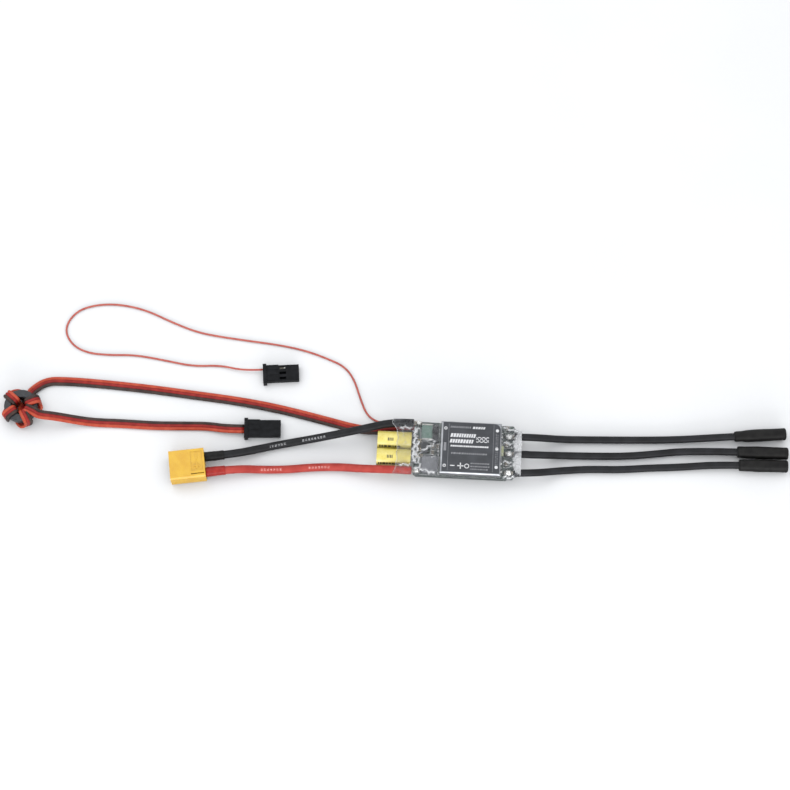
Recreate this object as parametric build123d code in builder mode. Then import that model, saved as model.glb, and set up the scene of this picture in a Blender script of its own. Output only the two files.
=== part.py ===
"""Electronic speed controller for a three-phase model motor, in millimetres.

A flat controller under clear shrink film, with its heat-sink plate on top and two filter
capacitors at the battery end. Two battery leads run to a two-pin shrouded plug, three motor
leads run to sleeved sockets, and two thin leads run to servo plugs, one of them through a
ferrite ring. +X points to the motor leads and +Z up. The origin is the middle of the
controller's underside, and everything lies on z = 0.
"""
import os
from math import cos, radians, sin, tan

from build123d import *

os.makedirs("parts", exist_ok=True)

ON_TOP = (Align.CENTER, Align.CENTER, Align.MIN)
HANGING = (Align.CENTER, Align.CENTER, Align.MAX)

# ---- driving dimensions: the controller -------------------------------------------------
body_half_length = 32.2
film_wall = 0.3
film_left = -23.6
film_half_width = 13.6
film_height = 9.35
film_corner = 2.3

board_left, board_right = -15.8, 28.8
board_half_width = 12.4
control_board_bottom, control_board_top = 1.9, 2.9
main_board_bottom, main_board_top = 4.6, 6.2

plate_left, plate_right = -4.0, 22.9
plate_near, plate_far = -12.4, 11.8
plate_bottom, plate_top = 8.2, 10.9
plate_edge = 0.35
plate_middle = ((plate_left + plate_right) / 2, (plate_near + plate_far) / 2)
plate_size = (plate_right - plate_left, plate_far - plate_near)
pad_bottom = 7.7
label_thickness = 0.1

# ---- driving dimensions: capacitors -----------------------------------------------------
can_radius = 3.8
sleeve_wall = 0.2
capacitor_right = -17.0
capacitor_z = 4.7
capacitor_rows = {"rear": 3.6, "front": -4.5}
capacitor_lead_radius = 0.3
capacitor_lead_half_pitch = 1.75

# ---- driving dimensions: leads and plugs ------------------------------------------------
battery_lead_radius = 1.8
motor_lead_radius = 1.65
strand_radius = 1.0
ribbon_width, ribbon_thickness = 4.2, 1.4
wire_radius = 0.45

pin_radius = 1.75
pin_half_pitch = 3.6
battery_plug_angle = 9.5
battery_plug_face = (-108.5, -12.0)
plug_width, plug_height, plug_length = 13.4, 8.1, 15.7
plug_bevel = 0.8
plug_wall, plug_edge = 0.6, 0.25
plug_back = 4.2
pin_flange = 0.25
cup_length = 4.2
battery_sleeve_length = 8.7

socket_radius = 2.15
socket_length = 14.0
socket_bore_depth = 9.5
socket_recess = 1.2
socket_sleeve_radius = 2.9
socket_sleeve_length = 23.0
socket_inset = socket_sleeve_length - socket_recess - socket_length

servo_plug_length = 16.3
servo_plug_width, servo_plug_height = 7.7, 2.7
servo_flange_width, servo_flange_height, servo_flange_length = 9.4, 4.0, 1.6
servo_pitch = 2.54
receiver_plug_angle, telemetry_plug_angle = 3.0, 6.0
servo_plug_round = 0.25

ring_centre = (-193.6, 10.8)
ring_outer, ring_inner, ring_height = 7.4, 4.0, 4.2

# ---- routes of the leads, each from the controller outwards -----------------------------
battery_route_negative = [
    (-16.4, 11.4, 7.1), (-25.5, 11.4, 7.1), (-37.5, 7.9, 7.1), (-50.0, 4.4, 7.1),
    (-62.0, 2.6, 3.4), (-74.0, 0.3, 1.85), (-84.6, -2.5, 1.85), (-95.1, -6.11, 4.05),
    (-104.952, -7.757, 4.05),
]
battery_route_positive = [
    (-16.4, -10.9, 7.1), (-26.0, -10.9, 7.1), (-37.5, -10.3, 4.2), (-49.2, -9.3, 1.85),
    (-61.5, -10.2, 1.85), (-72.5, -11.8, 1.85), (-83.2, -12.4, 1.85), (-93.9, -13.21, 4.05),
    (-103.764, -14.859, 4.05),
]
motor_routes = {
    "a": [
        (29.0, 7.2, 7.1), (38.5, 7.4, 7.1), (50.5, 8.9, 1.7), (65.0, 9.5, 1.7),
        (83.0, 10.3, 1.7), (101.5, 11.4, 1.7), (119.8, 13.1, 2.9), (135.6, 14.76, 2.9),
    ],
    "b": [
        (29.0, -0.9, 7.1), (38.5, -0.8, 7.1), (50.5, 1.3, 1.7), (64.0, 1.7, 1.7),
        (80.0, 2.5, 1.7), (95.0, 4.6, 1.7), (103.0, 5.9, 1.7), (120.6, 6.55, 2.9),
        (136.4, 6.83, 2.9),
    ],
    "c": [
        (29.0, -9.8, 7.1), (38.3, -9.3, 7.1), (50.0, -5.9, 1.7), (62.5, -4.5, 1.7),
        (77.0, -4.0, 1.7), (90.0, -2.5, 1.7), (103.0, -1.5, 1.7), (120.4, 0.3, 2.9),
        (136.2, 0.69, 2.9),
    ],
}
receiver_route = [
    (-15.2, 9.8, 3.65), (-22.5, 9.75, 3.3), (-31.0, 9.1, 1.3), (-41.0, 9.1, 0.75),
    (-54.5, 12.2, 0.75), (-68.5, 15.3, 0.75), (-83.0, 18.1, 0.75), (-99.0, 20.2, 0.75),
    (-116.0, 21.7, 0.75), (-134.0, 23.4, 0.75), (-151.0, 24.5, 0.75), (-165.0, 25.2, 0.75),
    (-175.0, 25.4, 0.75), (-184.0, 25.1, 0.75), (-190.0, 20.5, 0.75),
]
receiver_tail_route = [
    (-184.6, 6.4, 7.85), (-178.2, 6.3, 7.2), (-170.0, 6.6, 2.8), (-161.0, 6.3, 0.75),
    (-148.0, 6.5, 0.75), (-134.0, 6.2, 0.75), (-120.0, 6.8, 0.75), (-109.0, 7.3, 0.75),
    (-100.6, 6.0, 2.0), (-92.5, 6.42, 2.0),
]
telemetry_route = [
    (-14.2, 11.0, 1.4), (-20.5, 11.4, 1.25), (-27.5, 12.8, 0.8), (-33.4, 13.4, 0.5),
    (-38.0, 16.6, 0.5), (-41.2, 24.0, 0.5), (-44.7, 33.6, 0.5), (-49.5, 39.4, 0.5),
    (-57.0, 42.6, 0.5), (-67.0, 46.0, 0.5), (-79.0, 48.2, 0.5), (-93.0, 49.5, 0.5),
    (-107.0, 50.9, 0.5), (-118.0, 52.6, 0.5), (-130.0, 56.9, 0.5), (-142.0, 62.2, 0.5),
    (-154.5, 64.6, 0.5), (-165.5, 63.9, 0.5), (-174.6, 60.2, 0.5), (-179.2, 51.6, 0.5),
    (-175.4, 43.8, 0.5), (-167.5, 39.8, 0.5), (-157.0, 39.3, 0.5), (-146.0, 40.0, 0.5),
    (-133.0, 38.3, 0.5), (-118.5, 35.8, 0.5), (-106.0, 37.0, 0.5), (-95.2, 34.4, 1.9),
    (-86.3, 35.34, 2.0),
]


def save(piece, node):
    """Label a finished piece and write it as its own STEP file."""
    piece.part.label = node
    export_step(piece.part, f"parts/{node}.step")


def corner_radii(route):
    """Each corner's arc: 0.45 of its shorter run, over the tangent of half the turn."""
    points = [Vector(*point) for point in route]
    radii = []
    for before, corner, after in zip(points, points[1:], points[2:]):
        run_in, run_out = corner - before, after - corner
        shorter = min(run_in.length, run_out.length)
        radii.append(0.45 * shorter / tan(radians(run_in.get_angle(run_out) / 2)))
    return radii


def start_plane(route):
    """Plane across the route's first run, with its x axis level."""
    along = (Vector(*route[1]) - Vector(*route[0])).normalized()
    return Plane(origin=route[0], x_dir=along.cross(Vector(0, 0, 1)), z_dir=along)


def report_cord(node, cord, path, route, section_area):
    """Print the cord's arcs, its length, and its volume against section times length."""
    length = path.wires()[0].length
    radii = ", ".join(f"{radius:.0f}" for radius in corner_radii(route))
    print(f"{node}: length {length:.1f}, volume ratio "
          f"{cord.part.volume / (section_area * length):.4f}, arcs {radii}")


def free_cord(node, route, radius=None):
    """Sweep a round cord along its route, or the flat ribbon where no radius is given."""
    with BuildPart() as cord:
        with BuildLine() as path:
            FilletPolyline(*route, radius=corner_radii(route))
        with BuildSketch(start_plane(route)) as section:
            if radius:
                Circle(radius)
            else:
                SlotOverall(ribbon_width, ribbon_thickness)
        sweep()
    save(cord, node)
    report_cord(node, cord, path, route, section.sketch.area)


def heading(angle):
    """Level unit vector at an angle from +X."""
    return Vector(cos(radians(angle)), sin(radians(angle)), 0)


# ---- clear shrink film: an open-ended sleeve with a window for the plate ----------------
film_length = body_half_length - film_left
film_section = Plane(origin=(film_left, 0, film_height / 2), x_dir=(0, 1, 0), z_dir=(1, 0, 0))
window_gap, window_depth = 0.4, 1.0

with BuildPart() as shrink_film:
    with BuildSketch(film_section):
        RectangleRounded(2 * film_half_width, film_height, film_corner)
        RectangleRounded(2 * (film_half_width - film_wall), film_height - 2 * film_wall,
                         film_corner - film_wall, mode=Mode.SUBTRACT)
    extrude(amount=film_length)
    with BuildSketch(Plane.XY.offset(film_height - window_depth)):
        with Locations(plate_middle):
            Rectangle(plate_size[0] + 2 * window_gap, plate_size[1] + 2 * window_gap)
    extrude(amount=2 * window_depth, mode=Mode.SUBTRACT)
save(shrink_film, "shrink_film")

# ---- heat-sink plate, its label and the pad under it ------------------------------------
with BuildPart() as heatsink_plate:
    with BuildSketch(Plane.XY.offset(plate_bottom)):
        with Locations(plate_middle):
            Rectangle(*plate_size)
    extrude(amount=plate_top - plate_bottom)
    chamfer(heatsink_plate.faces().sort_by(Axis.Z)[-1].edges(), plate_edge)
save(heatsink_plate, "heatsink_plate")

label_left_strip, label_near_strip, label_margin = 0.9, 0.7, 0.4
label_corner = 2.6

with BuildPart() as label:
    with BuildSketch(Plane.XY.offset(plate_top)) as label_outline:
        label_low = (plate_left + label_left_strip, plate_near + label_near_strip)
        label_high = (plate_right - label_margin, plate_far - label_margin)
        with Locations(((label_low[0] + label_high[0]) / 2, (label_low[1] + label_high[1]) / 2)):
            Rectangle(label_high[0] - label_low[0], label_high[1] - label_low[1])
        fillet(label_outline.vertices().sort_by_distance((*label_high, plate_top))[0],
               label_corner)
    extrude(amount=label_thickness)
save(label, "label")

pad_inset, pad_tab_width, pad_tab_reach, pad_tab_root = 0.5, 4.6, 24.2, 2.0

with BuildPart() as thermal_pad:
    with BuildSketch(Plane.XY.offset(pad_bottom)):
        with Locations(plate_middle):
            Rectangle(plate_size[0] - 2 * pad_inset, plate_size[1] - 2 * pad_inset)
        with Locations((plate_right - pad_tab_root, 0)):
            Rectangle(pad_tab_reach - plate_right + pad_tab_root, pad_tab_width,
                      align=(Align.MIN, Align.CENTER))
    extrude(amount=plate_bottom - pad_bottom)
save(thermal_pad, "thermal_pad")

# ---- the two boards, joined by two rows of pins -----------------------------------------
pin_row_y = 11.3
board_pin_first_x, board_pin_pitch, board_pin_count = -1.6, 5.4, 5
board_pin_columns = [board_pin_first_x + board_pin_pitch * step
                     for step in range(board_pin_count)]
board_pin_places = [(x, side * pin_row_y) for side in (-1, 1) for x in board_pin_columns]
board_pin_radius, board_hole_radius = 0.32, 0.45
board_pin_foot, board_pin_head = 0.5, 0.1
board_middle_x = (board_left + board_right) / 2
board_corner = 0.6

with BuildPart() as main_board:
    with BuildSketch(Plane.XY.offset(main_board_bottom)):
        with Locations((board_middle_x, 0)):
            RectangleRounded(board_right - board_left, 2 * board_half_width, board_corner)
        with Locations(*board_pin_places):
            Circle(board_hole_radius, mode=Mode.SUBTRACT)
    extrude(amount=main_board_top - main_board_bottom)
save(main_board, "main_board")

control_left, control_right, control_half_width = -15.0, 26.0, 12.1

with BuildPart() as control_board:
    with BuildSketch(Plane.XY.offset(control_board_bottom)):
        with Locations(((control_left + control_right) / 2, 0)):
            RectangleRounded(control_right - control_left, 2 * control_half_width,
                             board_corner)
        with Locations(*board_pin_places):
            Circle(board_hole_radius, mode=Mode.SUBTRACT)
    extrude(amount=control_board_top - control_board_bottom)
save(control_board, "control_board")

with BuildPart() as board_pins:
    with BuildSketch(Plane.XY.offset(control_board_bottom - board_pin_foot)):
        with Locations(*board_pin_places):
            Circle(board_pin_radius)
    extrude(amount=main_board_top + board_pin_head - control_board_bottom + board_pin_foot)
save(board_pins, "board_pins")

spacer_length, spacer_width = 24.0, 1.5
spacer_middle_x = (board_pin_columns[0] + board_pin_columns[-1]) / 2
pin_ease = 0.02

with BuildPart() as board_pin_spacers:
    with BuildSketch(Plane.XY.offset(control_board_top)):
        with GridLocations(0, 2 * pin_row_y, 1, 2):
            with Locations((spacer_middle_x, 0)):
                Rectangle(spacer_length, spacer_width)
        with Locations(*board_pin_places):
            Circle(board_pin_radius + pin_ease, mode=Mode.SUBTRACT)
    extrude(amount=main_board_bottom - control_board_top)
save(board_pin_spacers, "board_pin_spacers")

# ---- power transistors under the pad: three rows of four --------------------------------
transistor_length, transistor_width = 5.0, 5.2
transistor_pitch_x, transistor_pitch_y = 6.4, 7.2
transistor_leg = (0.5, 0.8, 0.3)
transistor_leg_overhang = 0.6
chip_leg_pitch = 1.27
transistor_height = pad_bottom - main_board_top

with BuildPart() as power_transistors:
    with Locations((plate_middle[0], plate_middle[1], main_board_top)):
        with GridLocations(transistor_pitch_x, transistor_pitch_y, 4, 3):
            Box(transistor_length, transistor_width, transistor_height, align=ON_TOP)
            with GridLocations(chip_leg_pitch, transistor_width + transistor_leg_overhang, 4, 2):
                Box(*transistor_leg, align=ON_TOP)
save(power_transistors, "power_transistors")

# ---- filter capacitors, lying side by side ----------------------------------------------
can_left = -body_half_length
bung_thickness = 1.4
sleeve_lip = 0.15
can_roll = 0.35
sleeve_end_ring = 0.7
vent_length, vent_width, vent_depth = 5.0, 0.35, 0.3

for row, row_y in capacitor_rows.items():
    end_plane = Plane(origin=(can_left, row_y, capacitor_z), x_dir=(0, 1, 0), z_dir=(1, 0, 0))
    can_length = capacitor_right - can_left
    with BuildPart() as can:
        with BuildSketch(end_plane.offset(sleeve_lip)):
            Circle(can_radius)
        extrude(amount=can_length - bung_thickness - sleeve_lip)
        with BuildSketch(end_plane):
            Rectangle(vent_width, vent_length)
            Rectangle(vent_length, vent_width)
        extrude(amount=vent_depth, mode=Mode.SUBTRACT)
        fillet(can.faces().filter_by(Axis.X).sort_by(Axis.X)[0].outer_wire().edges(), can_roll)
    save(can, f"capacitor_{row}_can")
    with BuildPart() as can_sleeve:
        with BuildSketch(end_plane):
            Circle(can_radius + sleeve_wall)
        extrude(amount=can_length)
        with BuildSketch(end_plane.offset(sleeve_lip)):
            Circle(can_radius)
        extrude(amount=can_length - sleeve_lip, mode=Mode.SUBTRACT)
        with BuildSketch(end_plane):
            Circle(can_radius - sleeve_end_ring)
        extrude(amount=sleeve_lip, mode=Mode.SUBTRACT)
    save(can_sleeve, f"capacitor_{row}_sleeve")

with BuildPart() as capacitor_bungs:
    for row_y in capacitor_rows.values():
        bung_plane = Plane(origin=(capacitor_right, row_y, capacitor_z), x_dir=(0, 1, 0),
                           z_dir=(-1, 0, 0))
        with BuildSketch(bung_plane):
            Circle(can_radius)
            with GridLocations(2 * capacitor_lead_half_pitch, 0, 2, 1):
                Circle(capacitor_lead_radius, mode=Mode.SUBTRACT)
        extrude(amount=bung_thickness)
save(capacitor_bungs, "capacitor_bungs")

lead_rise_x, lead_end_x = -16.3, -13.95
lead_lift, lead_bend = 0.1, 0.45
lead_top_z = main_board_top + lead_lift + capacitor_lead_radius
capacitor_lead_rows = [row_y + side * capacitor_lead_half_pitch
                       for row_y in capacitor_rows.values() for side in (-1, 1)]

with BuildPart() as capacitor_leads:
    for lead_y in capacitor_lead_rows:
        with BuildLine():
            FilletPolyline(
                (capacitor_right - bung_thickness, lead_y, capacitor_z),
                (lead_rise_x, lead_y, capacitor_z),
                (lead_rise_x, lead_y, lead_top_z),
                (lead_end_x, lead_y, lead_top_z),
                radius=lead_bend,
            )
        with BuildSketch(Plane(origin=(capacitor_right - bung_thickness, lead_y, capacitor_z),
                               x_dir=(0, 1, 0), z_dir=(1, 0, 0))):
            Circle(capacitor_lead_radius)
        sweep()
save(capacitor_leads, "capacitor_leads")

# ---- the 5-volt supply: resettable fuse, inductor, regulator, diodes --------------------
fuse_centre, fuse_length, fuse_width, fuse_height = (-10.3, 7.3), 7.4, 4.6, 1.9
fuse_end, fuse_setback = 0.6, 0.15

with BuildPart() as fuse_body:
    with Locations((*fuse_centre, main_board_top + fuse_setback)):
        Box(fuse_width, fuse_length - 2 * fuse_end, fuse_height - 2 * fuse_setback, align=ON_TOP)
save(fuse_body, "fuse_body")

with BuildPart() as fuse_terminals:
    with Locations((*fuse_centre, main_board_top)):
        with GridLocations(0, fuse_length - fuse_end, 1, 2):
            Box(fuse_width, fuse_end, fuse_height, align=ON_TOP)
save(fuse_terminals, "fuse_terminals")

inductor_centre, inductor_side, inductor_height = (-8.5, -7.9), 7.7, 2.7
inductor_corner, inductor_edge, inductor_standoff = 1.6, 0.3, 0.2
inductor_terminal_length, inductor_terminal_width = 1.6, 3.4

with BuildPart() as inductor_body:
    with BuildSketch(Plane.XY.offset(main_board_top + inductor_standoff)):
        with Locations(inductor_centre):
            RectangleRounded(inductor_side, inductor_side, inductor_corner)
    extrude(amount=inductor_height - inductor_standoff)
    chamfer(inductor_body.faces().sort_by(Axis.Z)[-1].edges(), inductor_edge)
save(inductor_body, "inductor_body")

with BuildPart() as inductor_terminals:
    with Locations((*inductor_centre, main_board_top)):
        with GridLocations(inductor_side - inductor_terminal_length, 0, 2, 1):
            Box(inductor_terminal_length, inductor_terminal_width, inductor_standoff,
                align=ON_TOP)
save(inductor_terminals, "inductor_terminals")

regulator_centre, regulator_size = (-11.2, 0.1), (3.0, 4.9, 1.5)
regulator_leg, regulator_leg_spacing = (1.1, 0.45, 0.25), 4.1
chip_standoff = 0.1

with BuildPart() as regulator_chip:
    with Locations((*regulator_centre, main_board_top)):
        with Locations((0, 0, chip_standoff)):
            Box(*regulator_size, align=ON_TOP)
        with GridLocations(regulator_leg_spacing, chip_leg_pitch, 2, 4):
            Box(*regulator_leg, align=ON_TOP)
save(regulator_chip, "regulator_chip")

diode_x, diode_rows, diode_size = -6.4, (9.1, 4.4), (2.5, 3.6, 1.6)
diode_tab, diode_tab_spacing = (1.4, 0.6, 0.6), 4.0

with BuildPart() as rectifier_diodes:
    with Locations(*[(diode_x, row_y, main_board_top) for row_y in diode_rows]):
        Box(*diode_size, align=ON_TOP)
        with GridLocations(0, diode_tab_spacing, 1, 2):
            Box(*diode_tab, align=ON_TOP)
save(rectifier_diodes, "rectifier_diodes")

ceramic_places = [(-7.3, 0.9), (-5.2, 0.9), (-7.3, -2.1), (25.6, 3.4), (25.6, -5.6),
                  (25.6, 11.0)]
ceramic_size = (1.3, 2.2, 1.2)

with BuildPart() as ceramic_capacitors:
    with Locations(*[(*place, main_board_top) for place in ceramic_places]):
        Box(*ceramic_size, align=ON_TOP)
save(ceramic_capacitors, "ceramic_capacitors")

resistor_places = [(-5.0, -2.0), (-14.5, 3.6), (-14.5, -0.5), (23.4, 4.2), (23.4, -4.6),
                   (23.4, 7.8), (23.4, -8.4), (27.7, 3.2), (27.7, -5.4)]
resistor_size = (0.9, 1.6, 0.5)

with BuildPart() as chip_resistors:
    with Locations(*[(*place, main_board_top) for place in resistor_places]):
        Box(*resistor_size, align=ON_TOP)
save(chip_resistors, "chip_resistors")

# ---- control electronics under the lower board ------------------------------------------
controller_x, controller_side, controller_height = 2.0, 7.0, 1.0
controller_legs, controller_leg_pitch, controller_leg_spacing = 8, 0.8, 7.9
controller_leg_length, controller_leg_width, control_leg_height = 0.9, 0.35, 0.25

with BuildPart() as microcontroller:
    with Locations((controller_x, 0, control_board_bottom)):
        with Locations((0, 0, -chip_standoff)):
            Box(controller_side, controller_side, controller_height, align=HANGING)
        with GridLocations(controller_leg_spacing, controller_leg_pitch, 2, controller_legs):
            Box(controller_leg_length, controller_leg_width, control_leg_height, align=HANGING)
        with GridLocations(controller_leg_pitch, controller_leg_spacing, controller_legs, 2):
            Box(controller_leg_width, controller_leg_length, control_leg_height, align=HANGING)
save(microcontroller, "microcontroller")

driver_x, driver_pitch, driver_size = 16.0, 7.0, (3.9, 4.9, 1.3)
driver_leg_spacing, driver_leg_length, driver_leg_width = 4.9, 1.0, 0.45

with BuildPart() as gate_drivers:
    with Locations((driver_x, 0, control_board_bottom)):
        with GridLocations(0, driver_pitch, 1, 3):
            with Locations((0, 0, -chip_standoff)):
                Box(*driver_size, align=HANGING)
            with GridLocations(driver_leg_spacing, chip_leg_pitch, 2, 4):
                Box(driver_leg_length, driver_leg_width, control_leg_height, align=HANGING)
save(gate_drivers, "gate_drivers")

resonator_place, resonator_size = (-6.2, 2.0), (3.2, 1.3, 1.0)

with BuildPart() as resonator:
    with Locations((*resonator_place, control_board_bottom)):
        Box(*resonator_size, align=HANGING)
save(resonator, "resonator")

control_chip_size = (0.9, 1.6, 0.6)
driver_side_place, driver_side_pitch = (10.0, 0), (2.4, 3.2)
supply_side_place, supply_side_pitch = (-9.5, -5.0), (2.6, 2.8)

with BuildPart() as control_chip_parts:
    with Locations((*driver_side_place, control_board_bottom)):
        with GridLocations(*driver_side_pitch, 2, 6):
            Box(*control_chip_size, align=HANGING)
    with Locations((*supply_side_place, control_board_bottom)):
        with GridLocations(*supply_side_pitch, 3, 3):
            Box(*control_chip_size, align=HANGING)
save(control_chip_parts, "control_chip_parts")

# ---- stripped lead ends and the solder that holds them ----------------------------------
battery_strand_rows = [battery_route_negative[0][1], battery_route_positive[0][1]]
motor_strand_rows = [route[0][1] for route in motor_routes.values()]
battery_lead_start = battery_route_negative[0][0]
motor_lead_start = motor_routes["a"][0][0]
battery_strand_length, motor_strand_length = 3.4, 4.2
motor_strand_radius = 0.85
strand_gap = 0.05

strand_ends = [(battery_lead_start + strand_gap, row_y, battery_strand_length, strand_radius)
               for row_y in battery_strand_rows]
strand_ends += [(motor_lead_start - motor_strand_length - strand_gap, row_y,
                 motor_strand_length, motor_strand_radius) for row_y in motor_strand_rows]

with BuildPart() as lead_strands:
    for low_x, row_y, length, radius in strand_ends:
        with BuildSketch(Plane(origin=(low_x, row_y, main_board_top + radius + strand_gap),
                               x_dir=(0, 1, 0), z_dir=(1, 0, 0))):
            Circle(radius)
        extrude(amount=length)
save(lead_strands, "lead_strands")

battery_joint_x, battery_joint_size, battery_joint_corner = -14.1, (2.6, 1.9, 1.3), 0.5
motor_joint_x, motor_joint_radius, motor_joint_height, motor_joint_round = 26.6, 1.9, 1.5, 1.0

with BuildPart() as battery_solder_joints:
    with Locations(*[(battery_joint_x, row_y, main_board_top) for row_y in battery_strand_rows]):
        Box(*battery_joint_size, align=ON_TOP)
    fillet(battery_solder_joints.edges().filter_by(Axis.Z), battery_joint_corner)
    for row_y in battery_strand_rows:
        with BuildSketch(Plane(origin=(battery_joint_x, row_y,
                                       main_board_top + strand_radius + strand_gap),
                               x_dir=(0, 1, 0), z_dir=(1, 0, 0))):
            Circle(strand_radius)
        extrude(amount=battery_joint_size[0], both=True, mode=Mode.SUBTRACT)
save(battery_solder_joints, "battery_solder_joints")

with BuildPart() as motor_solder_joints:
    with Locations(*[(motor_joint_x, row_y, main_board_top) for row_y in motor_strand_rows]):
        Cylinder(motor_joint_radius, motor_joint_height, align=ON_TOP)
    fillet(motor_solder_joints.faces().filter_by(Axis.Z).group_by(Axis.Z)[-1].edges(),
           motor_joint_round)
    for row_y in motor_strand_rows:
        with BuildSketch(Plane(origin=(motor_joint_x, row_y,
                                       main_board_top + motor_strand_radius + strand_gap),
                               x_dir=(0, 1, 0), z_dir=(1, 0, 0))):
            Circle(motor_strand_radius)
        extrude(amount=motor_joint_radius, both=True, mode=Mode.SUBTRACT)
save(motor_solder_joints, "motor_solder_joints")

bead_x, bead_base_radius, bead_top_radius, bead_height = -14.65, 0.75, 0.35, 0.9

with BuildPart() as capacitor_solder:
    with Locations(*[(bead_x, lead_y, main_board_top) for lead_y in capacitor_lead_rows]):
        Cone(bead_base_radius, bead_top_radius, bead_height, align=ON_TOP)
    for lead_y in capacitor_lead_rows:
        with BuildSketch(Plane(origin=(lead_end_x, lead_y, lead_top_z), x_dir=(0, 1, 0),
                               z_dir=(-1, 0, 0))):
            Circle(capacitor_lead_radius)
        extrude(amount=2 * bead_base_radius, mode=Mode.SUBTRACT)
save(capacitor_solder, "capacitor_solder")

# ---- battery leads and their shrouded plug ----------------------------------------------
free_cord("battery_lead_negative", battery_route_negative, battery_lead_radius)
free_cord("battery_lead_positive", battery_route_positive, battery_lead_radius)

plug_z = plug_height / 2
plug_out = -heading(battery_plug_angle)
plug_across = -heading(battery_plug_angle + 90)
plug_plane = Plane(origin=(*battery_plug_face, plug_z), x_dir=plug_across, z_dir=plug_out)
pin_sides = {"negative": -1, "positive": 1}


def plug_outline(wall):
    """Corners of a rectangle bevelled on the positive side, set in by wall."""
    half_width, half_height = plug_width / 2 - wall, plug_height / 2 - wall
    bevel = plug_bevel - wall * (2 - 2 ** 0.5)
    return [
        (-half_width, -half_height),
        (half_width - bevel, -half_height),
        (half_width, -half_height + bevel),
        (half_width, half_height - bevel),
        (half_width - bevel, half_height),
        (-half_width, half_height),
    ]


with BuildPart() as battery_plug_shell:
    with BuildSketch(plug_plane):
        Polygon(*plug_outline(0), align=None)
    extrude(amount=plug_length)
    shell_edges = battery_plug_shell.edges().filter_by(Axis(plug_plane.origin, plug_out))
    fillet(shell_edges, plug_edge)
    with BuildSketch(plug_plane.offset(plug_back)):
        Polygon(*plug_outline(plug_wall), align=None)
    extrude(amount=plug_length - plug_back, mode=Mode.SUBTRACT)
    with BuildSketch(plug_plane):
        with GridLocations(2 * pin_half_pitch, 0, 2, 1):
            Circle(pin_radius + pin_flange)
    extrude(amount=plug_back, mode=Mode.SUBTRACT)
save(battery_plug_shell, "battery_plug_shell")

pin_reach = 9.6
pin_slot, pin_slot_depth, pin_tip = 0.4, 4.4, 0.45
lead_sleeve_wall, sleeve_ease = 0.35, 0.02

for side_name, side in pin_sides.items():
    with BuildPart() as battery_pin:
        with BuildSketch(plug_plane.offset(-cup_length)):
            with Locations((side * pin_half_pitch, 0)):
                Circle(battery_lead_radius)
        extrude(amount=cup_length)
        with BuildSketch(plug_plane):
            with Locations((side * pin_half_pitch, 0)):
                Circle(pin_radius + pin_flange)
        extrude(amount=plug_back)
        with BuildSketch(plug_plane.offset(plug_back)):
            with Locations((side * pin_half_pitch, 0)):
                Circle(pin_radius)
        extrude(amount=pin_reach)
        chamfer(battery_pin.faces().sort_by(Axis(plug_plane.origin, plug_out))[-1].edges(),
                pin_tip)
        with BuildSketch(plug_plane.offset(plug_back + pin_reach)):
            with Locations((side * pin_half_pitch, 0)):
                Rectangle(pin_slot, 2.2 * pin_radius)
                Rectangle(2.2 * pin_radius, pin_slot)
        extrude(amount=-pin_slot_depth, mode=Mode.SUBTRACT)
    save(battery_pin, f"battery_pin_{side_name}")
    with BuildPart() as lead_sleeve:
        with BuildSketch(plug_plane):
            with Locations((side * pin_half_pitch, 0)):
                Circle(battery_lead_radius + lead_sleeve_wall)
                Circle(battery_lead_radius + sleeve_ease, mode=Mode.SUBTRACT)
        extrude(amount=-battery_sleeve_length)
    save(lead_sleeve, f"lead_sleeve_{side_name}")

# ---- motor leads, each with a socket in an insulating sleeve ----------------------------
shoulder_length, shoulder_drop = 2.4, 0.8

for phase, route in motor_routes.items():
    free_cord(f"motor_lead_{phase}", route, motor_lead_radius)
    lead_end, last_corner = Vector(*route[-1]), Vector(*route[-2])
    outward = (lead_end - last_corner).normalized()
    socket_plane = Plane(origin=lead_end, x_dir=outward.cross(Vector(0, 0, 1)), z_dir=outward)
    with BuildPart() as motor_socket:
        with BuildSketch(socket_plane):
            Circle(socket_radius)
        extrude(amount=socket_length)
        with BuildSketch(socket_plane.offset(socket_length - socket_bore_depth)):
            Circle(pin_radius)
        extrude(amount=socket_bore_depth, mode=Mode.SUBTRACT)
    save(motor_socket, f"motor_socket_{phase}")
    with BuildPart() as socket_sleeve:
        with BuildSketch(socket_plane.offset(-socket_inset)):
            Circle(socket_sleeve_radius)
        extrude(amount=socket_sleeve_length)
        chamfer(socket_sleeve.faces().sort_by(Axis.X)[0].edges(),
                shoulder_length, shoulder_drop)
        with BuildSketch(socket_plane.offset(-socket_inset)):
            Circle(motor_lead_radius)
        extrude(amount=socket_inset, mode=Mode.SUBTRACT)
        with BuildSketch(socket_plane):
            Circle(socket_radius)
        extrude(amount=socket_length + socket_recess, mode=Mode.SUBTRACT)
    save(socket_sleeve, f"socket_sleeve_{phase}")

# ---- receiver cable, wound on a ferrite ring --------------------------------------------
ring_lift = 0.1
ring_bottom = 2 * ribbon_thickness + ring_lift
ring_top = ring_bottom + ring_height
ring_plane = Plane(origin=(*ring_centre, 0), x_dir=(1, 0, 0), z_dir=(0, 0, 1))
bare_arc_start, bare_arc_end = 45.0, 125.0
ring_edge = 0.4
winding_ease, winding_slack = 0.05, 0.55
winding_entry, winding_exit = 5.0, 4.5

free_cord("receiver_cable", receiver_route)
free_cord("receiver_cable_tail", receiver_tail_route)

with BuildPart() as ferrite_ring:
    with BuildSketch(ring_plane.offset(ring_bottom)):
        Circle(ring_outer)
        Circle(ring_inner, mode=Mode.SUBTRACT)
    extrude(amount=ring_height)
    chamfer(ferrite_ring.edges().filter_by(GeomType.CIRCLE), ring_edge)
save(ferrite_ring, "ferrite_ring")

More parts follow.
